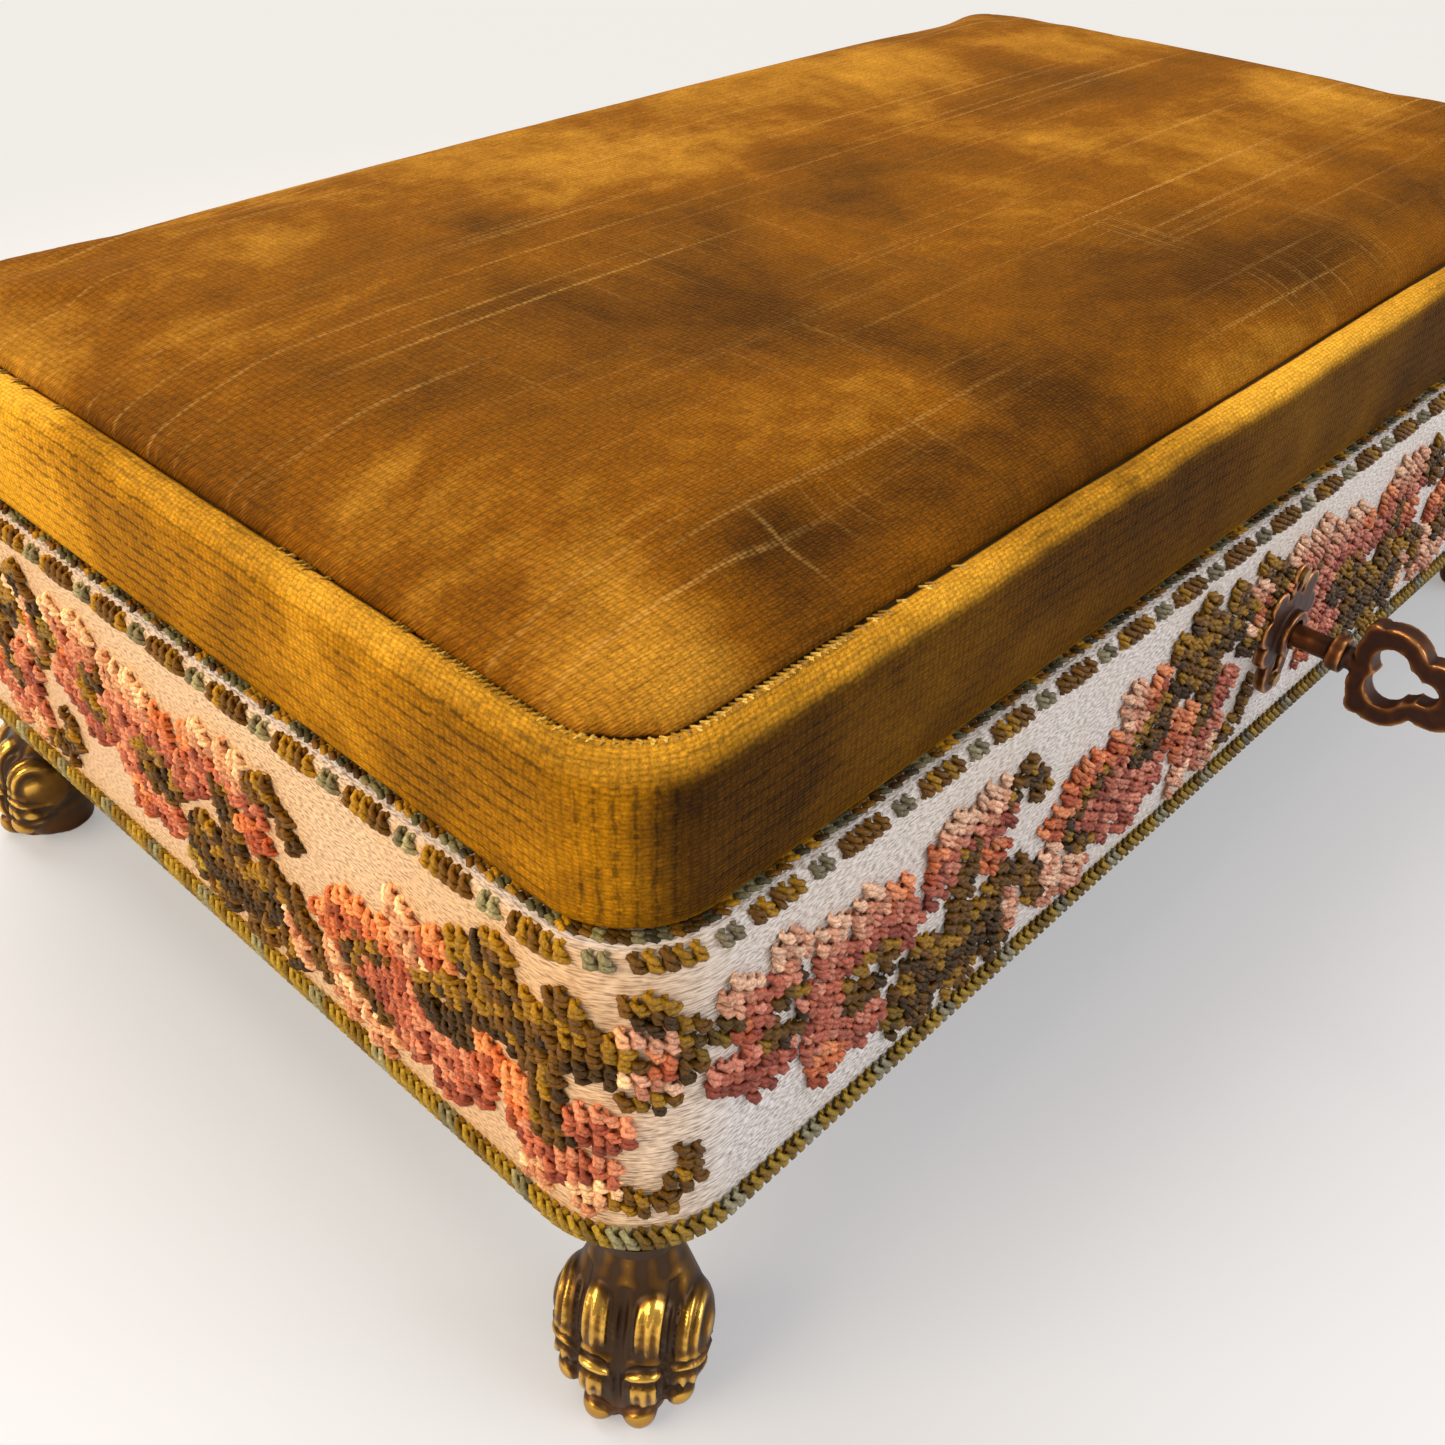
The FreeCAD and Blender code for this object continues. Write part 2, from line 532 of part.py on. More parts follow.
def pad_form(name, half_x, half_y, radius, low, rise, shares):
    """A padded form: its sides draw in at the bottom and it crowns towards the middle."""
    pad = body(name)
    sketches = []
    for n, (height, inset) in enumerate(shares):
        move_in = f"({inset} * {half_y} / 2)"
        loop = (round_rectangle, f"({half_x} - {move_in})", f"({half_y} - {move_in})",
                f"({radius} + {move_in} / 2)")
        sketches.append(drawing(pad, f"section_{n}", "XY_Plane", f"{low} + {height} * ({rise})", [loop]))
    loft = pad.newObject("PartDesign::AdditiveLoft", f"{name}_form")
    loft.Profile = sketches[0]
    loft.Sections = [(sketch, [""]) for sketch in sketches[1:]]
    loft.Ruled = False
    doc.recompute()
    return pad


def make_inside():
    """Satin wall lining, and the padded floor of the well, which stays clear of the lock."""
    lining = body("wall_lining")
    outside = (round_rectangle, f"({WELL_HALF_X} - board_fit)", f"({WELL_HALF_Y} - board_fit)",
               f"({WELL_RADIUS} - board_fit)")
    inside = (round_rectangle, f"({WELL_HALF_X} - lining)", f"({WELL_HALF_Y} - lining)",
              f"({WELL_RADIUS} - lining)")
    layer(lining, "card", "XY_Plane", FLOOR_TOP, f"{BASE_TOP} - lining_drop", outside, inside)
    half = "(case_width / 2 + ear_width + pad_room)"
    gap = (rectangle, f"-{half}", half, CASE_FRONT, f"{CASE_FRONT} + 2 * lining")
    layer(lining, "lock_gap", "XY_Plane", f"{CASE_LOW} - pad_room", BASE_TOP, gap, cut=True)
    node(lining)
    half_x = f"({WELL_HALF_X} - lining - pad_room)"
    half_y = f"({WELL_HALF_Y} - lining - pad_room)"
    form = pad_form("floor_pad_form", half_x, half_y, f"({WELL_RADIUS} - lining)", FLOOR_TOP,
                    "floor_pad_height", SMALL_PAD_SHARES)
    place = (f"-{half}", f"{CASE_FRONT} - pad_room + {SHIFT_Y}", f"{CASE_LOW} - pad_room")
    lock_room = primitive("Box", "room_round_lock", place, Length=f"2 * {half}",
                          Width="case_depth + 2 * pad_room", Height="base_height")
    floor_pad = doc.addObject("Part::Cut", "floor_pad")
    floor_pad.Label = "floor_pad"
    floor_pad.Base = form
    floor_pad.Tool = lock_room
    floor_pad.Refine = False
    doc.recompute()
    node(floor_pad)


def make_paw():
    """Cast paw: an ankle that swells into four toes with claws, on a flat sole, under a screw flange."""
    sections = []
    for n, (height, forward, depth, width) in enumerate(PAW_SHARES):
        ring = primitive("Ellipse", f"paw_section_{n}",
                         (f"{forward} * foot_width", "0", f"{height} * foot_height"),
                         MajorRadius=f"{width} * foot_width", MinorRadius=f"{depth} * foot_width")
        tie(ring, Placement__Rotation__Angle="quarter_turn")
        sections.append(ring)
    ankle = doc.addObject("Part::Loft", "paw_ankle")
    ankle.Sections = sections
    ankle.Solid = True
    ankle.Ruled = False
    pieces = [ankle]
    for name, (height, forward, sideways, up, ahead, across) in TOE_SHARES.items():
        for side in (-1, 1):
            word = "right" if side > 0 else "left"
            place = (f"{forward} * foot_width", f"{side} * {sideways} * foot_width",
                     f"{height} * foot_height")
            toe = primitive("Ellipsoid", f"paw_{word}_{name}", place, Radius1=f"{up} * foot_width",
                            Radius2=f"{ahead} * foot_width", Radius3=f"{across} * foot_width")
            pieces.append(toe)
    plate_low = "foot_height - flange"
    pieces.append(primitive("Box", "paw_flange_plate", ("-flange_reach", "-flange_width / 2", plate_low),
                            Length="flange_reach", Width="flange_width", Height="flange"))
    for name, x in {"screw": "-flange_reach", "ankle": "0"}.items():
        pieces.append(primitive("Cylinder", f"paw_flange_{name}", (x, "0", plate_low),
                                Radius="flange_width / 2", Height="flange"))
    whole = joined("paw_whole", pieces)
    ground = primitive("Box", "paw_ground", ("-foot_width", "-foot_width", "-foot_width"),
                       Length="3 * foot_width", Width="2 * foot_width", Height="foot_width")
    bore = primitive("Cylinder", "paw_screw_bore", ("-flange_reach", "0", "foot_height / 2"),
                     Radius="foot_screw_head + screw_fit", Height="foot_height / 2 - flange / 2")
    hole = primitive("Cylinder", "paw_screw_hole", ("-flange_reach", "0", "foot_height / 2"),
                     Radius="foot_screw + screw_fit", Height="foot_height")
    tools = joined("paw_cuts", [ground, bore, hole])
    paw = doc.addObject("Part::Cut", "paw_foot_front_left")
    paw.Base = whole
    paw.Tool = tools
    paw.Refine = False
    paw.Label = "paw_foot_front_left"
    place_at_corner(paw)
    doc.recompute()
    return node(paw)


def place_at_corner(piece):
    """Turns and moves a piece from the paw's own frame to the front left corner."""
    piece.Placement = FreeCAD.Placement(vec(0, 0, 0), FreeCAD.Rotation(vec(0, 0, 1), 1))
    tie(piece, Placement__Base__x=f"foot_inset - {HALF_LENGTH}",
        Placement__Base__y=f"foot_inset - {HALF_DEPTH} + {SHIFT_Y}",
        Placement__Rotation__Angle="2 * quarter_turn + corner_bisector - foot_turn")


def mirrored(source, name, normal):
    """A mirror image across the middle of the casket."""
    made = doc.addObject("Part::Mirroring", name)
    made.Label = name
    made.Source = source
    made.Normal = normal
    tie(made, Base__y=SHIFT_Y)
    return made


def at_four_corners(source, stem):
    """Mirrors a front left piece to the other three corners."""
    front_right = mirrored(source, f"{stem}_front_right", vec(1, 0, 0))
    back_left = mirrored(source, f"{stem}_back_left", vec(0, 1, 0))
    back_right = mirrored(front_right, f"{stem}_back_right", vec(0, 1, 0))
    return [front_right, back_left, back_right]


def make_feet():
    """Four paws and the screws that hold them."""
    paw = make_paw()
    for foot in at_four_corners(paw, "paw_foot"):
        node(foot)
    low = "foot_height - flange"
    head = primitive("Cylinder", "foot_screw_cap", ("-flange_reach", "0", low), Radius="foot_screw_head",
                     Height="flange / 2")
    shank = primitive("Cylinder", "foot_screw_shank", ("-flange_reach", "0", f"{low} + flange / 2"),
                      Radius="foot_screw", Height="flange / 2 + ribbon + floor_board - axial_room")
    first = joined("foot_screw_front_left", [head, shank])
    place_at_corner(first)
    kept_apart("foot_screws", [first, *at_four_corners(first, "foot_screw")])


def make_escutcheon():
    """Ornate key plate on the ribbon, with two pins through it."""
    plate = body("escutcheon")
    front = f"-{HALF_DEPTH} - escutcheon_plate"
    back = f"-{HALF_DEPTH}"
    for name, (across, up, radius) in ESCUTCHEON_SHARES.items():
        for side in ((-1, 1) if across else (1,)):
            x = f"{side * across} * escutcheon_height" if across else "0"
            disc = (circle, x, f"{KEY_Z} + {up} * escutcheon_height", f"{radius} * escutcheon_height")
            layer(plate, f"{name}_{side + 1}", "XZ_Plane", front, back, disc)
    hip, hip_up, _ = ESCUTCHEON_SHARES["hip"]
    _, tongue_up, tongue = ESCUTCHEON_SHARES["tongue"]
    ends = [(-tongue, tongue_up), (tongue, tongue_up), (hip, hip_up), (-hip, hip_up)]
    corners = [(f"{across} * escutcheon_height", f"{KEY_Z} + {up} * escutcheon_height")
               for across, up in ends]
    layer(plate, "tongue_web", "XZ_Plane", front, back, (outline, corners))
    boss = (circle, "0", KEY_Z, "shank + keyhole_room + escutcheon_boss")
    layer(plate, "boss", "XZ_Plane", f"{front} - escutcheon_boss", back, boss)
    cut_keyhole(plate, f"{front} - 2 * escutcheon_boss", back, HOLE_RADIUS, HALF_SLOT, SLOT_DROP)
    across, up, radius = PIERCING_SHARES
    eye = (circle, "0", f"{KEY_Z} + {up} * escutcheon_height", f"{radius} * escutcheon_height")
    layer(plate, "piercing", "XZ_Plane", front, back, eye, cut=True)
    pins = []
    pin_end = f"-{FRAME_HALF_Y} + wall / 2"
    band = doc.getObject("tapestry_band")
    frame = doc.getObject("base_frame")
    for n, up in enumerate(ESCUTCHEON_PIN_SHARES):
        z = f"{KEY_Z} + {up} * escutcheon_height"
        hole = (circle, "0", z, "escutcheon_pin")
        layer(plate, f"pin_hole_{n}", "XZ_Plane", front, back, hole, cut=True)
        layer(band, f"pin_hole_{n}", "XZ_Plane", back, f"-{FRAME_HALF_Y}", hole, cut=True)
        layer(frame, f"pin_hole_{n}", "XZ_Plane", f"-{FRAME_HALF_Y}", pin_end, hole, cut=True)
        shank = primitive("Cylinder", f"escutcheon_pin_shank_{n}",
                          ("0", f"{pin_end} + {SHIFT_Y}", z), Radius="escutcheon_pin",
                          Height="wall / 2 + ribbon + escutcheon_plate + escutcheon_pin")
        shank.Placement.Rotation = FreeCAD.Rotation(vec(1, 0, 0), size("quarter_turn"))
        head = primitive("Cylinder", f"escutcheon_pin_head_{n}", ("0", f"{front} + {SHIFT_Y}", z),
                         Radius="escutcheon_pin_head", Height="escutcheon_pin")
        head.Placement.Rotation = FreeCAD.Rotation(vec(1, 0, 0), size("quarter_turn"))
        pins.append(joined(f"escutcheon_pin_{n}", [shank, head]))
    node(plate)
    kept_apart("escutcheon_pins", pins)


def make_lock_case():
    """Lock case behind the front wall: a box with a top plate, screw ears and the stump for the bolt."""
    case = body("lock_case")
    half = "case_width / 2"
    layer(case, "box", "XZ_Plane", CASE_FRONT, CAP_FRONT, (rectangle, f"-{half}", half, CASE_LOW, BASE_TOP))
    cavity = (rectangle, f"-{CAVITY_HALF}", CAVITY_HALF, f"{CASE_LOW} + case_wall", SELVEDGE_LOW)
    layer(case, "cavity", "XZ_Plane", CASE_INSIDE, CAP_FRONT, cavity, cut=True)
    for side, word in ((-1, "left"), (1, "right")):
        near = f"{side} * case_width / 2"
        far = f"{side} * (case_width / 2 + ear_width)"
        low, high = (far, near) if side < 0 else (near, far)
        ear = (rectangle, low, high, f"{KEY_Z} - ear_height / 2", f"{KEY_Z} + ear_height / 2")
        layer(case, f"{word}_ear", "XZ_Plane", CASE_FRONT, f"{CASE_FRONT} + ear_thickness", ear)
        for turn in (-1, 1):
            hole = (circle, f"{side} * (case_width / 2 + ear_width / 2)",
                    f"{KEY_Z} + {turn} * ear_height / 4", "lock_screw + screw_fit")
            name = f"{word}_ear_hole_{turn + 1}"
            layer(case, name, "XZ_Plane", CASE_FRONT, f"{CASE_FRONT} + ear_thickness", hole, cut=True)
    top = (rectangle, "-(case_width / 2 + ear_width)", "case_width / 2 + ear_width", CASE_FRONT, CASE_BACK)
    layer(case, "top_plate", "XY_Plane", SELVEDGE_LOW, BASE_TOP, top)
    reach = "(staple_wire / 2 + staple_room)"
    slot = (rectangle, f"{STAPLE_X} - {reach}", f"{STAPLE_X} + {reach}", CASE_INSIDE, CAP_FRONT)
    layer(case, "staple_slot", "XY_Plane", SELVEDGE_LOW, BASE_TOP, slot, cut=True)
    layer(case, "sleeve_bore", "XZ_Plane", CASE_FRONT, CASE_INSIDE,
          (circle, "0", KEY_Z, f"{SLEEVE_RADIUS} + turning_fit"), cut=True)
    drop = (rectangle, f"-({HALF_SLOT})", HALF_SLOT, f"{KEY_Z} - ({SLOT_DROP})", KEY_Z)
    layer(case, "bit_slot", "XZ_Plane", CASE_FRONT, CASE_INSIDE, drop, cut=True)
    shoulder = (circle, STUMP_X, STUMP_Z, "stump + stump_shoulder")
    bolt_front = f"{BOLT_Y} - bolt_thickness / 2 - bolt_room"
    layer(case, "stump_shoulder", "XZ_Plane", CASE_INSIDE, bolt_front, shoulder)
    layer(case, "stump", "XZ_Plane", CASE_INSIDE, CAP_FRONT, (circle, STUMP_X, STUMP_Z, "stump"))
    return node(case)


def make_lock_small_parts():
    """Cap, bolt spring and screws of the lock."""
    cap_plate = body("lock_cap")
    half = "case_width / 2"
    cover = (rectangle, f"-{half}", half, CASE_LOW, SELVEDGE_LOW)
    layer(cap_plate, "plate", "XZ_Plane", CAP_FRONT, CASE_BACK, cover)
    bore = (circle, "0", KEY_Z, "key_tip + turning_fit")
    layer(cap_plate, "tip_bore", "XZ_Plane", CAP_FRONT, CASE_BACK, bore, cut=True)
    node(cap_plate)
    spring = body("bolt_spring")
    dip = f"({SELVEDGE_LOW} - {BOLT_TOP} - axial_room)"
    low = f"{BOLT_TOP} + axial_room"
    corners = [
        (f"{STUMP_X} - spring_length / 2", SELVEDGE_LOW),
        (f"{STUMP_X} - spring_length / 2", f"{SELVEDGE_LOW} - spring_strip"),
        (f"{STUMP_X} - spring_length / 8", low),
        (f"{STUMP_X} + spring_length / 8", low),
        (f"{STUMP_X} + spring_length / 2", f"{SELVEDGE_LOW} - spring_strip"),
        (f"{STUMP_X} + spring_length / 2", SELVEDGE_LOW),
        (f"{STUMP_X} + spring_length / 2 - {dip} / 2", SELVEDGE_LOW),
        (f"{STUMP_X} + spring_length / 8", f"{low} + spring_strip"),
        (f"{STUMP_X} - spring_length / 8", f"{low} + spring_strip"),
        (f"{STUMP_X} - spring_length / 2 + {dip} / 2", SELVEDGE_LOW),
    ]
    layer(spring, "strip", "XZ_Plane", f"{BOLT_Y} - bolt_thickness / 2", f"{BOLT_Y} + bolt_thickness / 2",
          (outline, corners))
    node(spring)
    screws = []
    for side in (-1, 1):
        for turn in (-1, 1):
            x = f"{side} * (case_width / 2 + ear_width / 2)"
            y = f"{CASE_FRONT} + ear_thickness + lock_screw + {SHIFT_Y}"
            z = f"{KEY_Z} + {turn} * ear_height / 4"
            screws.append(screw(f"lock_screw_{side + 1}_{turn + 1}", x, y, z, "lock_screw", "lock_screw_head",
                                "lock_screw", "ear_thickness + lock_screw_length", "front"))
    kept_apart("lock_screws", screws)


def make_sleeve():
    """Slotted sleeve that turns in the lock case and steadies the key."""
    sleeve = body("key_sleeve")
    tube = (circle, "0", KEY_Z, SLEEVE_RADIUS)
    layer(sleeve, "tube", "XZ_Plane", f"{CASE_FRONT} + axial_room", SLEEVE_BACK, tube)
    rim = (circle, "0", KEY_Z, f"{SLEEVE_RADIUS} + sleeve_step")
    layer(sleeve, "flange", "XZ_Plane", f"{CASE_INSIDE} + axial_room", SLEEVE_BACK, rim)
    bore = (circle, "0", KEY_Z, "shank + turning_fit")
    layer(sleeve, "bore", "XZ_Plane", CASE_FRONT, SLEEVE_BACK, bore, cut=True)
    slot = (rectangle, f"-({HALF_SLOT})", HALF_SLOT, f"{KEY_Z} - ({SLOT_DROP})", KEY_Z)
    layer(sleeve, "slot", "XZ_Plane", CASE_FRONT, SLEEVE_BACK, slot, cut=True)
    return node(sleeve)


def make_key():
    """Key: pierced bow, collar, round shank, bit and tip."""
    key = body("key")
    layer(key, "shank", "XZ_Plane", f"{BOW_START} - bow_thickness", BIT_BACK, (circle, "0", KEY_Z, "shank"))
    layer(key, "tip", "XZ_Plane", BIT_FRONT, f"{CASE_BACK} + axial_room", (circle, "0", KEY_Z, "key_tip"))
    ring = (circle, "0", KEY_Z, "shank + key_collar_step")
    layer(key, "collar", "XZ_Plane", BOW_START, f"{BOW_START} + key_collar_length", ring)
    bit = (rectangle, "-bit_thickness / 2", "bit_thickness / 2", f"{KEY_Z} - bit_radius", KEY_Z)
    layer(key, "bit", "XZ_Plane", BIT_FRONT, BIT_BACK, bit)
    for name, (outward, up, radius) in BOW_SHARES.items():
        disc = (circle, f"{BOW_START} - {outward} * bow_length", f"{KEY_Z} + {up} * bow_height",
                f"{radius} * bow_height")
        layer(key, name, "YZ_Plane", "-bow_thickness / 2", "bow_thickness / 2", disc)
    for name, (outward, up, radius) in BOW_HOLE_SHARES.items():
        disc = (circle, f"{BOW_START} - {outward} * bow_length", f"{KEY_Z} + {up} * bow_height",
                f"{radius} * bow_height")
        layer(key, name, "YZ_Plane", "-bow_thickness", "bow_thickness", disc, cut=True)
    return node(key)


def make_bolt():
    """Bolt: a plate with a talon for the bit, a slot for the stump and a nose that enters the staple."""
    bolt = body("lock_bolt")
    front = f"{BOLT_Y} - bolt_thickness / 2"
    back = f"{BOLT_Y} + bolt_thickness / 2"
    plate = (rectangle, f"-{BOLT_TAIL}", BOLT_END, BOLT_LOW, BOLT_TOP)
    layer(bolt, "plate", "XZ_Plane", front, back, plate)
    nose = (rectangle, BOLT_END, NOSE_END, f"{BOLT_LOW} + nose_low", f"{BOLT_LOW} + nose_low + nose_height")
    layer(bolt, "nose", "XZ_Plane", front, back, nose)
    half = "talon_width / 2"
    talon = (rectangle, f"-bolt_throw / 2 - {half}", f"{half} - bolt_throw / 2", BOLT_LOW,
             f"{BOLT_LOW} + talon_depth")
    layer(bolt, "talon", "XZ_Plane", front, back, talon, cut=True)
    room = "(stump + bolt_room)"
    slot = (rectangle, f"{STUMP_X} - bolt_throw - {room}", f"{STUMP_X} + {room}", f"{STUMP_Z} - {room}",
            f"{STUMP_Z} + {room}")
    layer(bolt, "slot", "XZ_Plane", front, back, slot, cut=True)
    return node(bolt)


def make_lid_wood():
    """Wooden lid: a ring, the board on it and the block that holds the strike."""
    ring = body("lid_frame")
    loops = [(round_rectangle, WOOD_HALF_X, WOOD_HALF_Y, f"({LID_RADIUS} - velvet)"),
             (round_rectangle, RECESS_HALF_X, RECESS_HALF_Y, f"({LID_RADIUS} - velvet - lid_wall)")]
    layer(ring, "walls", "XY_Plane", LID_LOW, BOARD_LOW, *loops)
    for side, x in HINGE_XS.items():
        seat = (rectangle, f"{x} - hinge_width / 2", f"{x} + hinge_width / 2", RECESS_HALF_Y, LID_HALF_Y)
        layer(ring, f"{side}_seat", "XY_Plane", LID_LOW, f"{LID_LOW} + hinge_leaf", seat, cut=True)
        for turn, offset in SCREW_SIDES.items():
            pilot = (circle, f"{x} {offset}", UPPER_SCREW_Y, "hinge_screw")
            high = f"{LID_LOW} + hinge_leaf + hinge_screw_length"
            layer(ring, f"{side}_{turn}_pilot", "XY_Plane", LID_LOW, high, pilot, cut=True)
    node(ring)
    board = body("lid_board")
    layer(board, "panel", "XY_Plane", BOARD_LOW, BOARD_TOP, loops[0])
    round_edges(board, "shoulder", "shoulder_radius - velvet", level(BOARD_TOP))
    node(board)
    block = body("strike_block")
    side_room = "strike_length / 2"
    place = (rectangle, f"{STAPLE_X} - {side_room}", f"{STAPLE_X} + {side_room}", f"-{RECESS_HALF_Y}",
             f"-{RECESS_HALF_Y} + block_depth")
    layer(block, "block", "XY_Plane", f"{LID_LOW} + strike_thickness", BOARD_LOW, place)
    for turn in (-1, 1):
        pilot = (circle, f"{STAPLE_X} + {turn} * strike_length / 3", BOLT_Y, "strike_screw")
        low = f"{LID_LOW} + strike_thickness"
        layer(block, f"pilot_{turn + 1}", "XY_Plane", low, f"{low} + strike_screw_length", pilot, cut=True)
    node(block)


def make_velvet():
    """Velvet: the border over side and shoulder, and the padded top inside the crease."""
    outer = body("velvet_border_form")
    whole = (round_rectangle, LID_HALF_X, LID_HALF_Y, LID_RADIUS)
    layer(outer, "outside", "XY_Plane", LID_LOW, SHOULDER, whole)
    round_edges(outer, "shoulder", "shoulder_radius", level(SHOULDER))
    opening_x = f"({LID_HALF_X} - crease_inset)"
    opening_y = f"({LID_HALF_Y} - crease_inset)"
    opening = (round_rectangle, opening_x, opening_y, "crease_radius")
    layer(outer, "opening", "XY_Plane", LID_LOW, SHOULDER, opening, cut=True)
    inner = body("velvet_border_hollow")
    layer(inner, "inside", "XY_Plane", f"{LID_LOW} - velvet", BOARD_TOP,
          (round_rectangle, WOOD_HALF_X, WOOD_HALF_Y, f"({LID_RADIUS} - velvet)"))
    round_edges(inner, "shoulder", "shoulder_radius - velvet", level(BOARD_TOP))
    for side, x in HINGE_XS.items():
        seat = (rectangle, f"{x} - hinge_width / 2", f"{x} + hinge_width / 2", f"{WOOD_HALF_Y} - velvet",
                f"{LID_HALF_Y} + velvet")
        layer(inner, f"{side}_seat", "XY_Plane", f"{LID_LOW} - velvet", f"{LID_LOW} + hinge_leaf", seat)
    border = doc.addObject("Part::Cut", "velvet_border")
    border.Label = "velvet_border"
    border.Base = outer
    border.Tool = inner
    border.Refine = False
    doc.recompute()
    node(border)
    half_x = f"({opening_x} - pad_room)"
    half_y = f"({opening_y} - pad_room)"
    rise = "(velvet + crown)"
    outside = pad_form("velvet_top_form", half_x, half_y, "crease_radius", BOARD_TOP, rise, TOP_PAD_SHARES)
    hollow_x = f"({half_x} - velvet)"
    hollow_y = f"({half_y} - velvet)"
    hollow = pad_form("velvet_top_hollow", hollow_x, hollow_y, "(crease_radius - velvet)", BOARD_TOP,
                      f"({rise} - velvet)", TOP_PAD_SHARES)
    skin = doc.addObject("Part::Cut", "velvet_top")
    skin.Label = "velvet_top"
    skin.Base = outside
    skin.Tool = hollow
    skin.Refine = False
    doc.recompute()
    node(skin)
    node(pad_form("top_wadding", hollow_x, hollow_y, "(crease_radius - velvet)", BOARD_TOP,
                  f"({rise} - velvet)", TOP_PAD_SHARES))


def make_lid_lining():
    """Satin pad under the lid board, notched round the strike block."""
    radius = f"({LID_RADIUS} - velvet - lid_wall)"
    pad = pad_form("lid_lining", f"({RECESS_HALF_X} - pad_room)", f"({RECESS_HALF_Y} - pad_room)", radius,
                   BOARD_LOW, "-lid_pad_height", SMALL_PAD_SHARES)
    side_room = "(strike_length / 2 + pad_room)"
    notch = (rectangle, f"{STAPLE_X} - {side_room}", f"{STAPLE_X} + {side_room}", f"-{LID_HALF_Y}",
             f"-{RECESS_HALF_Y} + block_depth + pad_room")
    layer(pad, "strike_notch", "XY_Plane", f"{BOARD_LOW} - 2 * lid_pad_height", BOARD_LOW, notch, cut=True)
    return node(pad)


def make_strike():
    """Strike plate with the staple that drops into the lock, and its screws."""
    plate = body("strike_plate")
    flat = (rectangle, f"{STAPLE_X} - strike_length / 2", f"{STAPLE_X} + strike_length / 2",
            f"{BOLT_Y} - strike_depth / 2", f"{BOLT_Y} + strike_depth / 2")
    layer(plate, "plate", "XY_Plane", LID_LOW, f"{LID_LOW} + strike_thickness", flat)
    near = f"({BOLT_Y} - staple_width / 2)"
    far = f"({BOLT_Y} + staple_width / 2)"
    top = f"{LID_LOW} + strike_thickness / 2"
    tip = f"({LID_LOW} - staple_depth)"
    corners = [
        (near, top),
        (near, f"{tip} + staple_wire"),
        (f"{near} + staple_wire", tip),
        (f"{far} - staple_wire", tip),
        (far, f"{tip} + staple_wire"),
        (far, top),
        (f"{far} - staple_wire", top),
        (f"{far} - staple_wire", f"{tip} + staple_wire"),
        (f"{near} + staple_wire", f"{tip} + staple_wire"),
        (f"{near} + staple_wire", top),
    ]
    layer(plate, "staple", "YZ_Plane", f"{STAPLE_X} - staple_wire / 2", f"{STAPLE_X} + staple_wire / 2",
          (outline, corners))
    screws = []
    for turn in (-1, 1):
        x = f"{STAPLE_X} + {turn} * strike_length / 3"
        hole = (circle, x, BOLT_Y, "strike_screw_head + screw_fit")
        layer(plate, f"hole_{turn + 1}", "XY_Plane", LID_LOW, f"{LID_LOW} + strike_thickness", hole, cut=True)
        screws.append(screw(f"strike_screw_{turn + 1}", x, f"{BOLT_Y} + {SHIFT_Y}", LID_LOW, "strike_screw",
                            "strike_screw_head", "strike_thickness", "strike_screw_length", "up"))
    node(plate)
    kept_apart("strike_screws", screws)


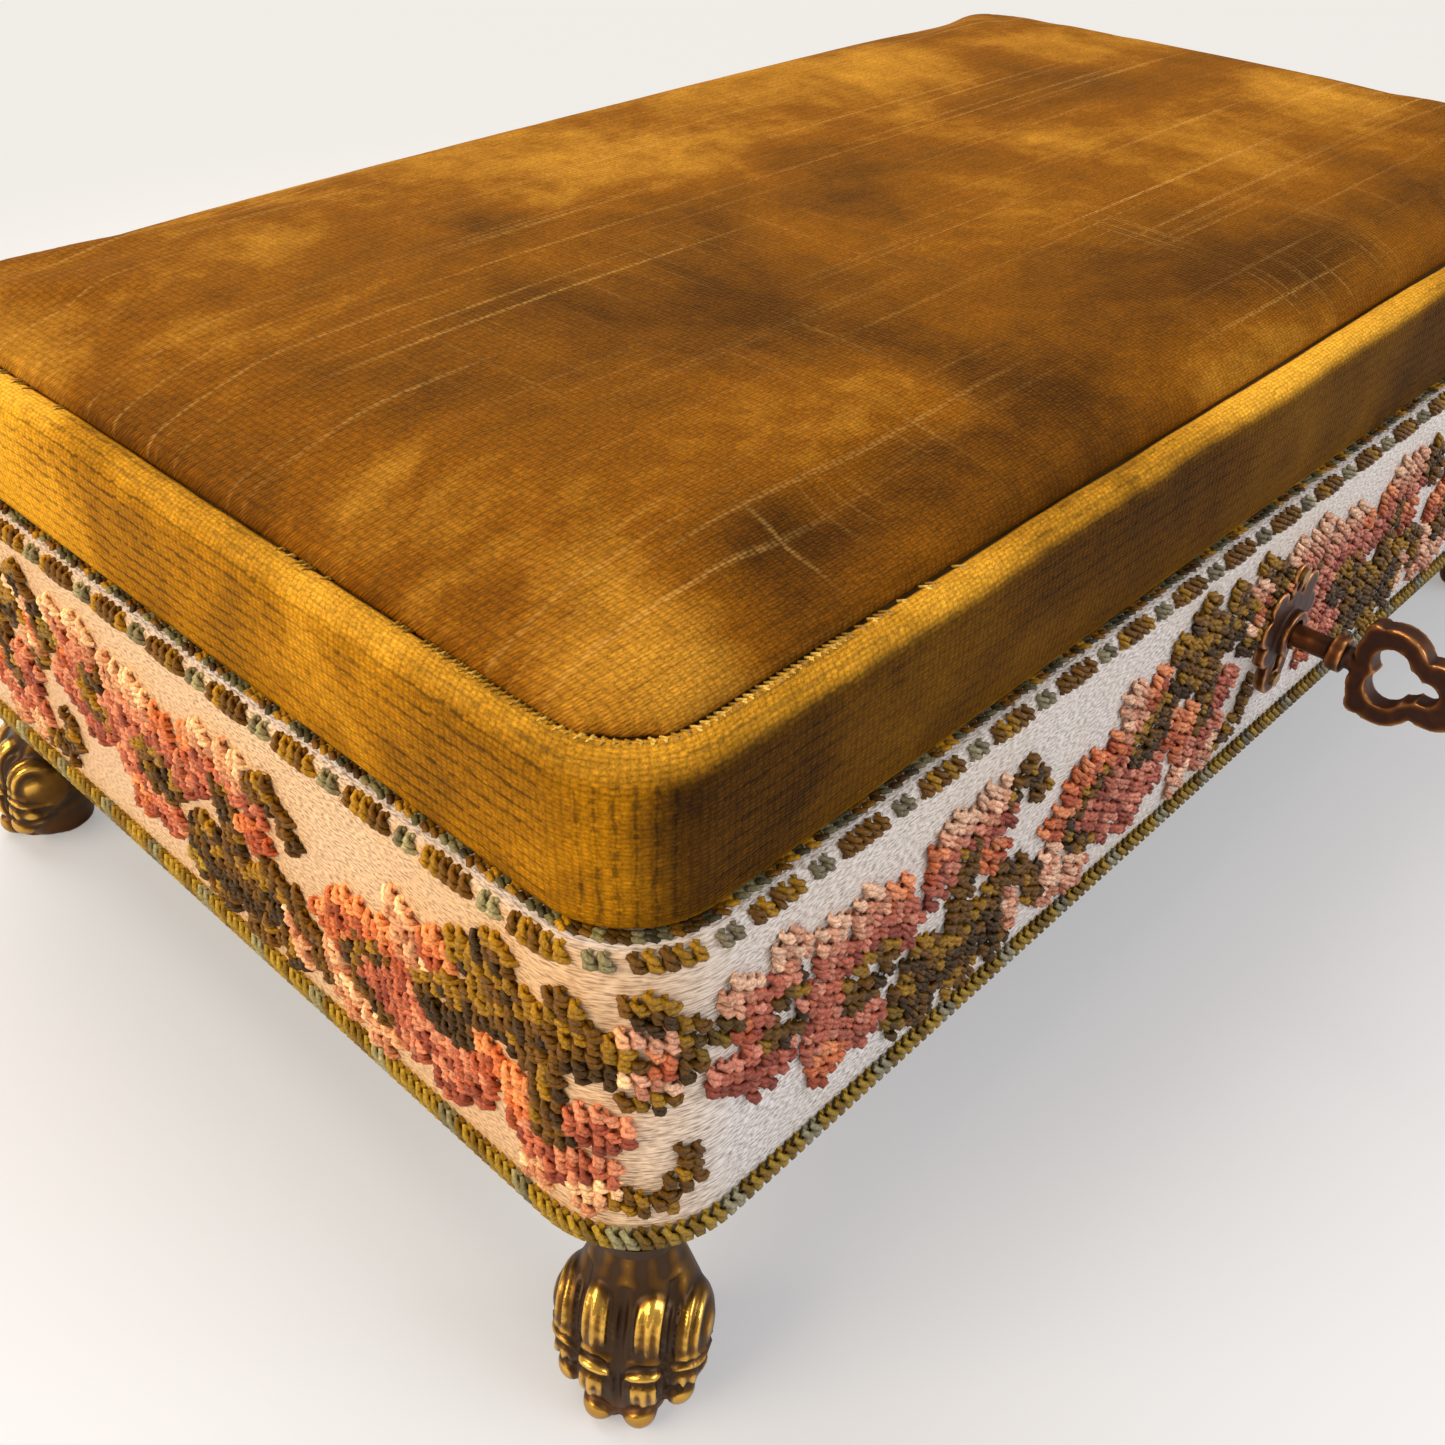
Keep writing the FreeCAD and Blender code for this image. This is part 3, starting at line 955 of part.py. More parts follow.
def make_hinges():
    """Two butt hinges: leaves let into rim and lid, knuckles behind, a pin and flat-headed screws."""
    pins = []
    lower_screws = []
    upper_screws = []
    third = "((hinge_width - 2 * knuckle_gap) / 3)"
    for side, x in HINGE_XS.items():
        left = f"({x} - hinge_width / 2)"
        right = f"({x} + hinge_width / 2)"
        inner = {"lower": [(left, f"{left} + {third}"), (f"{right} - {third}", right)],
                 "upper": [(f"{left} + {third} + knuckle_gap", f"{right} - {third} - knuckle_gap")]}
        plates = {"lower": (WELL_HALF_Y, f"{BASE_TOP} - hinge_leaf", BASE_TOP, LOWER_SCREW_Y),
                  "upper": (RECESS_HALF_Y, LID_LOW, f"{LID_LOW} + hinge_leaf", UPPER_SCREW_Y)}
        for leaf, (start, low, high, screw_y) in plates.items():
            made = body(f"hinge_{leaf}_leaf_{side}")
            layer(made, "plate", "XY_Plane", low, high, (rectangle, left, right, start, LEAF_END))
            for n, (near, far) in enumerate(inner[leaf]):
                strap = (rectangle, near, far, f"{LEAF_END} - leaf_room", HINGE_Y)
                layer(made, f"strap_{n}", "XY_Plane", low, high, strap)
                barrel = (circle, HINGE_Y, HINGE_Z, "barrel_radius")
                layer(made, f"knuckle_{n}", "YZ_Plane", near, far, barrel)
                layer(made, f"pin_bore_{n}", "YZ_Plane", near, far,
                      (circle, HINGE_Y, HINGE_Z, "hinge_pin + turning_fit"), cut=True)
            for turn, offset in SCREW_SIDES.items():
                spot = f"{x} {offset}"
                hole = (circle, spot, screw_y, "hinge_screw_head + screw_fit")
                layer(made, f"{turn}_hole", "XY_Plane", low, high, hole, cut=True)
                name = f"hinge_{leaf}_{side}_{turn}_screw"
                direction = "down" if leaf == "lower" else "up"
                start_z = high if leaf == "lower" else low
                made_screw = screw(name, spot, f"{screw_y} + {SHIFT_Y}", start_z, "hinge_screw",
                                   "hinge_screw_head", "hinge_leaf", "hinge_screw_length", direction)
                (lower_screws if leaf == "lower" else upper_screws).append(made_screw)
            node(made)
        pin = primitive("Cylinder", f"hinge_pin_{side}", (left, f"{HINGE_Y} + {SHIFT_Y}", HINGE_Z),
                        Radius="hinge_pin", Height="hinge_width")
        pin.Placement.Rotation = FreeCAD.Rotation(vec(0, 1, 0), size("quarter_turn"))
        pins.append(pin)
    kept_apart("hinge_pins", pins)
    kept_apart("hinge_lower_screws", lower_screws)
    kept_apart("hinge_upper_screws", upper_screws)


make_base_frame()
make_base_floor()
make_underside_cloth()
make_tapestry_band()
make_inside()
make_feet()
make_escutcheon()
make_lock_case()
make_lock_small_parts()
make_sleeve()
make_key()
make_bolt()
make_lid_wood()
make_velvet()
make_lid_lining()
make_strike()
make_hinges()
doc.recompute()

faults = [made.Name for made in doc.Objects if "Invalid" in made.State or "Error" in made.State]
for made in nodes:
    if made.Shape.isNull() or not made.Shape.isValid():
        faults.append(made.Label)
if faults:
    raise SystemExit(f"not sound: {faults}")

os.makedirs("parts", exist_ok=True)
for made in nodes:
    made.Shape.exportStep(os.path.join("parts", f"{made.Label}.step"))
    box = made.Shape.optimalBoundingBox()
    print(f"{made.Label}: {len(made.Shape.Solids)} solids, {made.Shape.Volume:.1f} mm3, "
          f"x {box.XMin:.2f} {box.XMax:.2f}, y {box.YMin:.2f} {box.YMax:.2f}, "
          f"z {box.ZMin:.2f} {box.ZMax:.2f}")
print(len(nodes), "nodes")
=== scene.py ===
# %% [markdown]
# # A jewelry casket with a velvet lid and a stitched ribbon
# The casket is a low wooden box. A woven satin ribbon with stitched flowers goes round
# its wall, a padded velvet lid hangs on two butt hinges, and it stands on four cast brass paws.
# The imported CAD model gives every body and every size, so each piece made here is laid over
# the solid that it dresses and then moves with that solid's body.

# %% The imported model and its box
import json
import math
import random

import bmesh
import bpy
from mathutils import Euler, Matrix, Vector, noise


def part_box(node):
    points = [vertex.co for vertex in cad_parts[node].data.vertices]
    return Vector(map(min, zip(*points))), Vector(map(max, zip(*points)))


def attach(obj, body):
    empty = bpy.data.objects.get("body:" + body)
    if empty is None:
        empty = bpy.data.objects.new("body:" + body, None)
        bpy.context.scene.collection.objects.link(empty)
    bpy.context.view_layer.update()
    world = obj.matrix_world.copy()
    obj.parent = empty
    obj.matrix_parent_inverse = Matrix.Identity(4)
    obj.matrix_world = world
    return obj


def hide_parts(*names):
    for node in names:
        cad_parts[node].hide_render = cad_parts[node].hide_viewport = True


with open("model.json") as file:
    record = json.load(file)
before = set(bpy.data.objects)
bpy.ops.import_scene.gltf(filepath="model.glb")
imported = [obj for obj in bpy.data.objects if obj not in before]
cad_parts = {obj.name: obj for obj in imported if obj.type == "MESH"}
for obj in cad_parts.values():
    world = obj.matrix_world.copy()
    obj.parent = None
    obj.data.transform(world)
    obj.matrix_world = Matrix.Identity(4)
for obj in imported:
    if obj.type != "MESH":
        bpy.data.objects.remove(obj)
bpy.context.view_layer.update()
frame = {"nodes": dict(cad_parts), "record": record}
MM = 0.001

# %% [markdown]
# ## Helpers for nodes, colours and meshes
# Every material and every Geometry Nodes tree below is built in code. One function adds a node
# with its settings and links, one turns the sRGB colours that are read off an object into
# Blender's linear ones, and a few make and hand over meshes.

# %% Colours and nodes
def colour(code):
    """A written sRGB colour such as #A86A08 as linear red, green, blue and alpha."""
    channels = [int(code[i:i + 2], 16) / 255 for i in (1, 3, 5)]
    return tuple(c / 12.92 if c <= 0.04045 else ((c + 0.055) / 1.055) ** 2.4 for c in channels) + (1.0,)


def add_node(tree, kind, inputs=None, stops=None, **settings):
    """Adds a node, sets its settings, and fills each input with a value or a link."""
    made = tree.nodes.new(kind)
    for name, value in settings.items():
        setattr(made, name, value)
    for place, (position, code) in enumerate(stops or []):
        points = made.color_ramp.elements
        point = points[place] if place < len(points) else points.new(position)
        point.position = position
        point.color = colour(code)
    for name, value in (inputs or {}).items():
        if isinstance(value, bpy.types.NodeSocket):
            tree.links.new(value, made.inputs[name])
        else:
            made.inputs[name].default_value = value
    return made


def new_material(name, **shader):
    """A material with a Principled shader. Underscores in the shader's input names stand for spaces."""
    material = bpy.data.materials.new(name)
    material.use_nodes = True
    principled = material.node_tree.nodes["Principled BSDF"]
    for socket, value in shader.items():
        principled.inputs[socket.replace("_", " ")].default_value = value
    return material, material.node_tree, principled


# %% Meshes and pieces
def new_mesh_object(name, points, faces):
    """A new object in the scene, from points in metres and faces."""
    mesh = bpy.data.meshes.new(name)
    mesh.from_pydata([tuple(p) for p in points], [], faces)
    mesh.validate()
    made = bpy.data.objects.new(name, mesh)
    bpy.context.scene.collection.objects.link(made)
    return made


def turn_faces_out(thing):
    """Merges doubles and makes every face of a closed mesh point outwards."""
    work = bmesh.new()
    work.from_mesh(thing.data)
    bmesh.ops.remove_doubles(work, verts=work.verts, dist=0.000001)
    bmesh.ops.recalc_face_normals(work, faces=work.faces)
    work.to_mesh(thing.data)
    work.free()


def hand_over(thing, body, material, replaced=(), smooth=True):
    """Gives a finished mesh its material, smooth faces, body, slot and the CAD nodes it stands for."""
    if material is not None:
        thing.data.materials.clear()
        thing.data.materials.append(material)
    thing.data.polygons.foreach_set("use_smooth", [smooth] * len(thing.data.polygons))
    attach(thing, body)
    if replaced:
        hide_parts(*replaced)
    print(thing.name, "rides on", body, "with", len(thing.data.polygons), "faces")
    return thing


print("helpers ready, cream as linear:", [round(c, 3) for c in colour("#E8DCC8")[:3]])

# %% [markdown]
# ## Camera, floor and light
# The picture looks down on the near corner from the left front. The camera's place and lens were
# worked out from the edges' vanishing points. The light is a plain bright studio: a warm soft window
# from the left and a cooler, weaker one from the right front, so the two walls differ a little
# in tint as they do in the picture. The lamps stay at a level where a colour renders as written.

# %% Camera
CAMERA_AT = Vector((-141.5, -95.8, 125.4)) * MM
CAMERA_LOOK = Vector((0.58599, 0.54026, -0.60393)).normalized()
CAMERA_UP = Vector((0.42848, 0.42598, 0.79683))
CAMERA_LENS, CAMERA_SENSOR, CAMERA_CLIP = 36.95, 36.0, 0.005
camera = bpy.data.objects.new("camera", bpy.data.cameras.new("camera"))
bpy.context.scene.collection.objects.link(camera)
camera.data.lens = CAMERA_LENS
camera.data.sensor_width = CAMERA_SENSOR
camera.data.clip_start = CAMERA_CLIP
right = CAMERA_LOOK.cross(CAMERA_UP).normalized()
up = right.cross(CAMERA_LOOK)
turn = camera.matrix_world.to_3x3()
for row in range(3):
    turn[row] = (right[row], up[row], -CAMERA_LOOK[row])
camera.rotation_euler = turn.to_euler()
camera.location = CAMERA_AT
bpy.context.scene.camera = camera
bpy.context.scene.view_settings.view_transform = "Standard"
print("camera at", [round(v, 4) for v in camera.location])

# %% The floor and the backdrop, one sheet that curves up far behind
# How much of the paper is plain glow, near the casket and far from it. Near it, that keeps the shadow as
# light as in the picture, and far off it makes the paper one even tone with the sky.
NEAR_GLOW, FAR_GLOW = 0.36, 0.95
NEAR_REACH, FAR_REACH = 0.10, 0.32
floor_paper, tree, shader = new_material("studio_paper", Roughness=0.9, Specular_IOR_Level=0.2)
where = add_node(tree, "ShaderNodeTexCoord")
far = add_node(tree, "ShaderNodeVectorMath", {0: where.outputs["Object"]}, operation="LENGTH")
fade = add_node(tree, "ShaderNodeMapRange", {"Value": far.outputs["Value"], "From Min": NEAR_REACH,
                                             "From Max": FAR_REACH},
                interpolation_type="SMOOTHSTEP")
# Painted shade and a painted cool cast: the paper is darker and bluer near the casket, against the warm
# window's light there
tint = add_node(tree, "ShaderNodeValToRGB", {"Fac": fade.outputs["Result"]},
                stops=[(0.0, "#D8DCE3"), (1.0, "#EEECEA")])
tree.links.new(tint.outputs["Color"], shader.inputs["Base Color"])
seen = add_node(tree, "ShaderNodeLightPath")
glow = add_node(tree, "ShaderNodeEmission", {"Color": colour("#EEEAE5"), "Strength": 1.0})
level = add_node(tree, "ShaderNodeMapRange", {"Value": fade.outputs["Result"], "To Min": NEAR_GLOW,
                                              "To Max": FAR_GLOW})
share = add_node(tree, "ShaderNodeMath", {0: seen.outputs["Is Camera Ray"], 1: level.outputs["Result"]},
                 operation="MULTIPLY")
both = add_node(tree, "ShaderNodeMixShader", {"Fac": share.outputs[0], 1: shader.outputs["BSDF"],
                                              2: glow.outputs["Emission"]})
tree.links.new(both.outputs["Shader"], tree.nodes["Material Output"].inputs["Surface"])
FLOOR_REACH = 2.5
sheet_line = [(-FLOOR_REACH, 0.0), (1.2, 0.0), (1.45, 0.03), (1.65, 0.12), (1.78, 0.28), (1.85, 0.5),
              (1.85, 2.5)]
paper = new_mesh_object(
    "studio_floor",
    [(side * FLOOR_REACH, y, z) for y, z in sheet_line for side in (-1, 1)],
    [(2 * k, 2 * k + 1, 2 * k + 3, 2 * k + 2) for k in range(len(sheet_line) - 1)])
paper.data.materials.append(floor_paper)
print("floor reaches", FLOOR_REACH, "m")

# %% Lamps and sky
def add_lamp(name, place, aim, size, power, code):
    """A rectangular lamp at a place, turned towards its aim."""
    lamp = bpy.data.objects.new(name, bpy.data.lights.new(name, "AREA"))
    bpy.context.scene.collection.objects.link(lamp)
    lamp.data.shape = "RECTANGLE"
    lamp.data.size, lamp.data.size_y = size
    lamp.data.energy = power
    lamp.data.color = colour(code)[:3]
    lamp.location = place
    lamp.rotation_euler = (Vector(aim) - Vector(place)).to_track_quat("-Z", "Y").to_euler()


# Each lamp: its name, place, aim, size, power in watts and colour
add_lamp("warm_window", (-0.85, 0.25, 0.55), (-0.05, 0.0, 0.05), (0.7, 0.6), 8.4, "#FFE9CC")
add_lamp("cool_window", (0.35, -0.9, 0.5), (0.0, 0.0, 0.05), (0.7, 0.5), 6.2, "#F2F5FF")
add_lamp("ceiling", (0.1, 0.5, 1.0), (0.0, 0.0, 0.05), (0.9, 0.7), 9.0, "#FFFAF3")
sky = bpy.data.worlds.new("studio_sky")
sky.use_nodes = True
bpy.context.scene.world = sky
background = sky.node_tree.nodes["Background"]
seen = add_node(sky.node_tree, "ShaderNodeLightPath")
strength = add_node(sky.node_tree, "ShaderNodeMapRange",
                    {"Value": seen.outputs["Is Camera Ray"], "To Min": 0.55, "To Max": 1.0})
background.inputs["Color"].default_value = colour("#EDE8E2")
sky.node_tree.links.new(strength.outputs["Result"], background.inputs["Strength"])

# %% [markdown]
# ## Threads and satin of the ribbon
# The ribbon's ground is woven of glossy cream threads that float over many others, so it reads
# as fine wavy lines along the ribbon, with a painted silvery highlight on each float and painted
# shade between them. It has yellowed with age in patches. The two short sides are painted warmer
# and the long ones cooler, which is painted light set by the way each wall faces. The stitches are
# soft two-ply cotton with fine twisted fibres, and they gleam a little on top. Each has a procedural
# material that reads lengths in millimetres.

# %% Cream satin weave with long floats along the ribbon
FLOAT_THICK = 0.2 * MM
FLOAT_LONG = 0.62 * MM
satin_weave, tree, shader = new_material("cream_satin_weave", Roughness=0.4, Sheen_Weight=0.15,
                                         Sheen_Roughness=0.4, Specular_IOR_Level=0.5)
lay = add_node(tree, "ShaderNodeUVMap", uv_map="strip")
drawn = add_node(tree, "ShaderNodeMapping", {"Vector": lay.outputs["UV"],
                                             "Scale": (1 / FLOAT_LONG, 1 / FLOAT_THICK, 1.0)})
floats = add_node(tree, "ShaderNodeTexNoise", {"Vector": drawn.outputs[0], "Scale": 1.0, "Detail": 2.0,
                                               "Roughness": 0.5, "Distortion": 0.25})
# Painted shade between the floats, and a painted silvery highlight on them
cream = add_node(tree, "ShaderNodeValToRGB", {"Fac": floats.outputs["Fac"]},
                 stops=[(0.33, "#8E8478"), (0.48, "#DED6CA"), (0.6, "#FFFFFC")])
SOIL_SCALE = 45.0
soil = add_node(tree, "ShaderNodeTexNoise", {"Vector": lay.outputs["UV"], "Scale": SOIL_SCALE, "Detail": 3.0})
age = add_node(tree, "ShaderNodeMapRange", {"Value": soil.outputs["Fac"], "From Min": 0.35, "From Max": 0.7,
                                            "To Min": 0.0, "To Max": 0.35})
aged = add_node(tree, "ShaderNodeMix",
                {0: age.outputs["Result"], 6: cream.outputs["Color"], 7: colour("#D6C5A6")}, data_type="RGBA")
facing = add_node(tree, "ShaderNodeNewGeometry")
sides = add_node(tree, "ShaderNodeSeparateXYZ", {"Vector": facing.outputs["Normal"]})
sideways = add_node(tree, "ShaderNodeMath", {0: sides.outputs["X"]}, operation="ABSOLUTE")
# Painted light: cool white on the long sides, warm yellow on the short ones, by the way each wall faces
side_light_tint = add_node(tree, "ShaderNodeMix", {0: sideways.outputs[0], 6: colour("#E4E1E4"), 7: colour("#F6CE9E")},
                  data_type="RGBA")
ground = add_node(tree, "ShaderNodeMix", {0: 1.0, 6: aged.outputs[2], 7: side_light_tint.outputs[2]}, data_type="RGBA",
                  blend_type="MULTIPLY")
tree.links.new(ground.outputs[2], shader.inputs["Base Color"])
relief = add_node(tree, "ShaderNodeBump", {"Height": floats.outputs["Fac"], "Strength": 0.9,
                                           "Distance": 0.2 * MM})
tree.links.new(relief.outputs["Normal"], shader.inputs["Normal"])
print("satin floats", FLOAT_THICK / MM, "mm thick,", FLOAT_LONG / MM, "mm long")

# %% Cotton thread: the colour of each stitch comes with its mesh
FIBRE_PITCH = 0.12 * MM
cotton_thread, tree, shader = new_material("stranded_cotton_thread", Roughness=0.38, Specular_IOR_Level=0.22)
dyed = add_node(tree, "ShaderNodeAttribute", attribute_name="thread_colour", attribute_type="GEOMETRY")
where = add_node(tree, "ShaderNodeTexCoord")
fibres = add_node(tree, "ShaderNodeTexNoise",
                  {"Vector": where.outputs["Object"], "Scale": 1 / (FIBRE_PITCH * 2), "Detail": 2.0,
                   "Roughness": 0.6})
fleck = add_node(tree, "ShaderNodeMapRange", {"Value": fibres.outputs["Fac"], "From Min": 0.3,
                                              "From Max": 0.7, "To Min": 0.55, "To Max": 1.35})
facing = add_node(tree, "ShaderNodeNewGeometry")
upward = add_node(tree, "ShaderNodeSeparateXYZ", {"Vector": facing.outputs["Normal"]})
# The top of each loop catches the light, and its underside lies in the next one's shade
gleam = add_node(tree, "ShaderNodeMapRange", {"Value": upward.outputs["Z"], "From Min": -0.6, "From Max": 0.9,
                                              "To Min": 0.62, "To Max": 1.5})
lit = add_node(tree, "ShaderNodeMath", {0: fleck.outputs["Result"], 1: gleam.outputs["Result"]},
               operation="MULTIPLY")
shaded = add_node(tree, "ShaderNodeVectorMath", {0: dyed.outputs["Color"], "Scale": lit.outputs[0]},
                  operation="SCALE")
tree.links.new(shaded.outputs[0], shader.inputs["Base Color"])
relief = add_node(tree, "ShaderNodeBump", {"Height": fibres.outputs["Fac"], "Strength": 0.7,
                                           "Distance": 0.1 * MM})
tree.links.new(relief.outputs["Normal"], shader.inputs["Normal"])
print("cotton fibres every", FIBRE_PITCH / MM, "mm")

# %% [markdown]
# ## The ribbon's ground
# The ribbon is one strip glued round the wall. It is turned under the bottom edge and over
# the rim. Its section is swept round the box's rounded rectangle, with a real thickness, because
# a strip that only lay on the wall would show no fold at the rim when the lid is open.

# %% Rounded rectangles, stacked into a skin
def ring_points(half_x, front, back, radius, long_steps, short_steps, corner_steps):
    """A rounded rectangle seen from above, from the middle of the back, by the left side to the front."""
    corners = [(-half_x + radius, back - radius, 90), (-half_x + radius, front + radius, 180),
               (half_x - radius, front + radius, 270), (half_x - radius, back - radius, 360)]
    sides = [long_steps // 2, short_steps, long_steps, short_steps, long_steps // 2]
    ring = []
    last = (0.0, back)
    for side, (cx, cy, start) in enumerate(corners):
        arc = [(cx + radius * math.cos(math.radians(start + 90 * k / corner_steps)),
                cy + radius * math.sin(math.radians(start + 90 * k / corner_steps)))
               for k in range(corner_steps + 1)]
        for k in range(sides[side]):
            t = k / sides[side]
            ring.append((last[0] + (arc[0][0] - last[0]) * t, last[1] + (arc[0][1] - last[1]) * t))
        ring += arc[:-1]
        last = arc[-1]
    for k in range(sides[4]):
        t = k / sides[4]
        ring.append((last[0] * (1 - t), last[1] + (back - last[1]) * t))
    return ring


def stack_rings(box, rows, steps):
    """Points in metres on stacked rounded rectangles, and how many lie on each. A row is (inset, height,
    corner radius) in mm, and box is the outermost (half width, front, back)."""
    half_x, front, back = box
    points = []
    for inset, height, radius in rows:
        ring = ring_points(half_x - inset, front + inset, back - inset, radius, *steps)
        points += [Vector((x, y, height)) * MM for x, y in ring]
    return points, len(ring)


def sweep_rings(name, rows, box, steps):
    """Joins stacked rings into a closed skin. Its UV map "strip" holds the real lengths round and across
    the strip, in metres."""
    points, count = stack_rings(box, rows, steps)
    around = [0.0]
    for k in range(count):
        around.append(around[-1] + (points[(k + 1) % count] - points[k]).length)
    across = [0.0]
    for low, high in zip(rows, rows[1:]):
        across.append(across[-1] + math.hypot(high[0] - low[0], high[1] - low[1]) * MM)
    across.append(across[-1] + math.hypot(rows[0][0] - rows[-1][0], rows[0][1] - rows[-1][1]) * MM)
    faces, places = [], []
    for r in range(len(rows)):
        up = (r + 1) % len(rows)
        for k in range(count):
            n = (k + 1) % count
            faces.append((r * count + k, r * count + n, up * count + n, up * count + k))
            places += [(around[k], across[r]), (around[k + 1], across[r]),
                       (around[k + 1], across[r + 1]), (around[k], across[r + 1])]
    made = new_mesh_object(name, points, faces)
    layer = made.data.uv_layers.new(name="strip")
    for loop, place in zip(layer.data, places):
        loop.uv = place
    return made


print("a small ring has", len(ring_points(10, -5, 5, 1, 4, 2, 3)), "points")

# %% Sweep the ribbon
BASE_BOX = (97.5, -47.6, 67.4)
BASE_LOW, BASE_TOP, BASE_CORNER = 20.0, 53.5, 10.0
RIBBON_THICK, RIBBON_FOLD, TURNED_UNDER, RIM_WIDE = 0.8, 1.0, 4.9, 4.8
FOLD_STEPS, WALL_ROWS = 4, 15
outside = [(TURNED_UNDER, BASE_LOW), (RIM_WIDE / 2, BASE_LOW)]
for step in range(FOLD_STEPS + 1):
    angle = math.radians(90 * step / FOLD_STEPS)
    outside.append((RIBBON_FOLD * (1 - math.sin(angle)), BASE_LOW + RIBBON_FOLD * (1 - math.cos(angle))))
for step in range(1, WALL_ROWS):
    outside.append((0.0, BASE_LOW + RIBBON_FOLD + (BASE_TOP - BASE_LOW - 2 * RIBBON_FOLD) * step / WALL_ROWS))
for step in range(FOLD_STEPS + 1):
    angle = math.radians(90 * step / FOLD_STEPS)
    outside.append((RIBBON_FOLD * (1 - math.cos(angle)), BASE_TOP - RIBBON_FOLD * (1 - math.sin(angle))))
outside += [(RIM_WIDE / 2, BASE_TOP), (RIM_WIDE - 0.3, BASE_TOP), (RIM_WIDE, BASE_TOP - 0.3)]
inside = [(RIM_WIDE, BASE_TOP - RIBBON_THICK), (RIBBON_THICK, BASE_TOP - RIBBON_THICK),
          (RIBBON_THICK, BASE_LOW + RIBBON_THICK), (TURNED_UNDER, BASE_LOW + RIBBON_THICK)]
# Steps along a long side, a short side and round a corner
RIBBON_STEPS = (110, 60, 14)
ribbon = sweep_rings("ribbon_ground", [(inset, z, BASE_CORNER - inset) for inset, z in outside + inside],
                     BASE_BOX, RIBBON_STEPS)
# The woven ground is a little uneven on the wall, between the two folds
BOX_MIDDLE = 9.9
UNEVEN, UNEVEN_PER_MM = 0.07 * MM, 0.35
last_fold_row = 2 + FOLD_STEPS
ring_size = len(ribbon.data.vertices) // len(outside + inside)
for index, vertex in enumerate(ribbon.data.vertices):
    row = index // ring_size
    if last_fold_row < row < last_fold_row + WALL_ROWS:
        out = Vector((vertex.co.x, vertex.co.y - BOX_MIDDLE * MM, 0)).normalized()
        vertex.co += out * UNEVEN * noise.noise(vertex.co / MM * UNEVEN_PER_MM)
turn_faces_out(ribbon)
hand_over(ribbon, "casket_base", satin_weave, ["tapestry_band"])
straight = 2 * (2 * BASE_BOX[0] + BASE_BOX[2] - BASE_BOX[1] - 4 * BASE_CORNER)
RIBBON_LONG = straight + 2 * math.pi * BASE_CORNER

# %% [markdown]
# ## The stitched flowers
# The pattern is an old one: pink roses with olive rings at their hearts, leaves, buds and curled
# tendrils, repeated along the ribbon, with a dashed row at the rim and one at the foot. It is
# drawn here as petals (ellipses) and stems (strokes) in the ribbon's own millimetres. Each place
# of the stitch grid then asks which petal or stem covers it. The repeat is one seventh of the way
# round, so the ribbon's ends meet in pattern behind the box.

# %% Distances along the ribbon, from the near corner's middle towards the right
REPEATS = 7
REPEAT_LONG = RIBBON_LONG / REPEATS
STITCHES_PER_REPEAT = 81
STITCH_WIDE = REPEAT_LONG / STITCHES_PER_REPEAT


def along_ribbon(distance):
    """The point (x, y) on the wall and the wall's heading there, a distance in mm from the near corner."""
    half_x, front, back = BASE_BOX
    arc = math.pi * BASE_CORNER / 2
    run = (distance + arc / 2) % RIBBON_LONG
    long_side, short_side = 2 * half_x - 2 * BASE_CORNER, back - front - 2 * BASE_CORNER
    corners = [(-half_x + BASE_CORNER, front + BASE_CORNER), (half_x - BASE_CORNER, front + BASE_CORNER),
               (half_x - BASE_CORNER, back - BASE_CORNER), (-half_x + BASE_CORNER, back - BASE_CORNER)]
    for side, (cx, cy) in enumerate(corners):
        start = -90 + 90 * side
        if run < arc:
            heading = math.radians(start) + run / BASE_CORNER
            return cx + BASE_CORNER * math.sin(heading), cy - BASE_CORNER * math.cos(heading), heading
        run -= arc
        length = long_side if side % 2 == 0 else short_side
        if run < length:
            heading = math.radians(start + 90)
            x = cx + BASE_CORNER * math.sin(heading) + run * math.cos(heading)
            return x, cy - BASE_CORNER * math.cos(heading) + run * math.sin(heading), heading
        run -= length
    return along_ribbon(0.0)


print("repeat", round(REPEAT_LONG, 2), "mm, stitch", round(STITCH_WIDE, 3), "mm")

# %% Thread colours, from light to deep
THREADS = {
    "pale": ["#E8B899", "#D69A7C", "#BC7A5E"],
    "coral": ["#DE8A5C", "#C66A40", "#A04A2C"],
    "rose": ["#CC8068", "#B05E48", "#8A4030"],
    "olive": ["#92680E", "#644004", "#3C2602"],
    "sage": ["#987824", "#765812", "#523A08"],
    "grey": ["#8E8468", "#706650", "#564C38"],
    # The grey thread darkened with painted shade, for the rim row under the lid's edge
    "lid_shaded_grey": ["#6C6446", "#504A32", "#383220"],
}
# Painted light: stitches on the two short sides are warmer and lighter, those on the long ones darker
SIDE_LIGHT_TINTS = {"left": (1.12, 1.14, 0.85), "right": (1.12, 1.14, 0.85), "front": (0.84, 0.86, 0.84),
          "back": (0.84, 0.86, 0.84)}
print("threads:", ", ".join(THREADS))

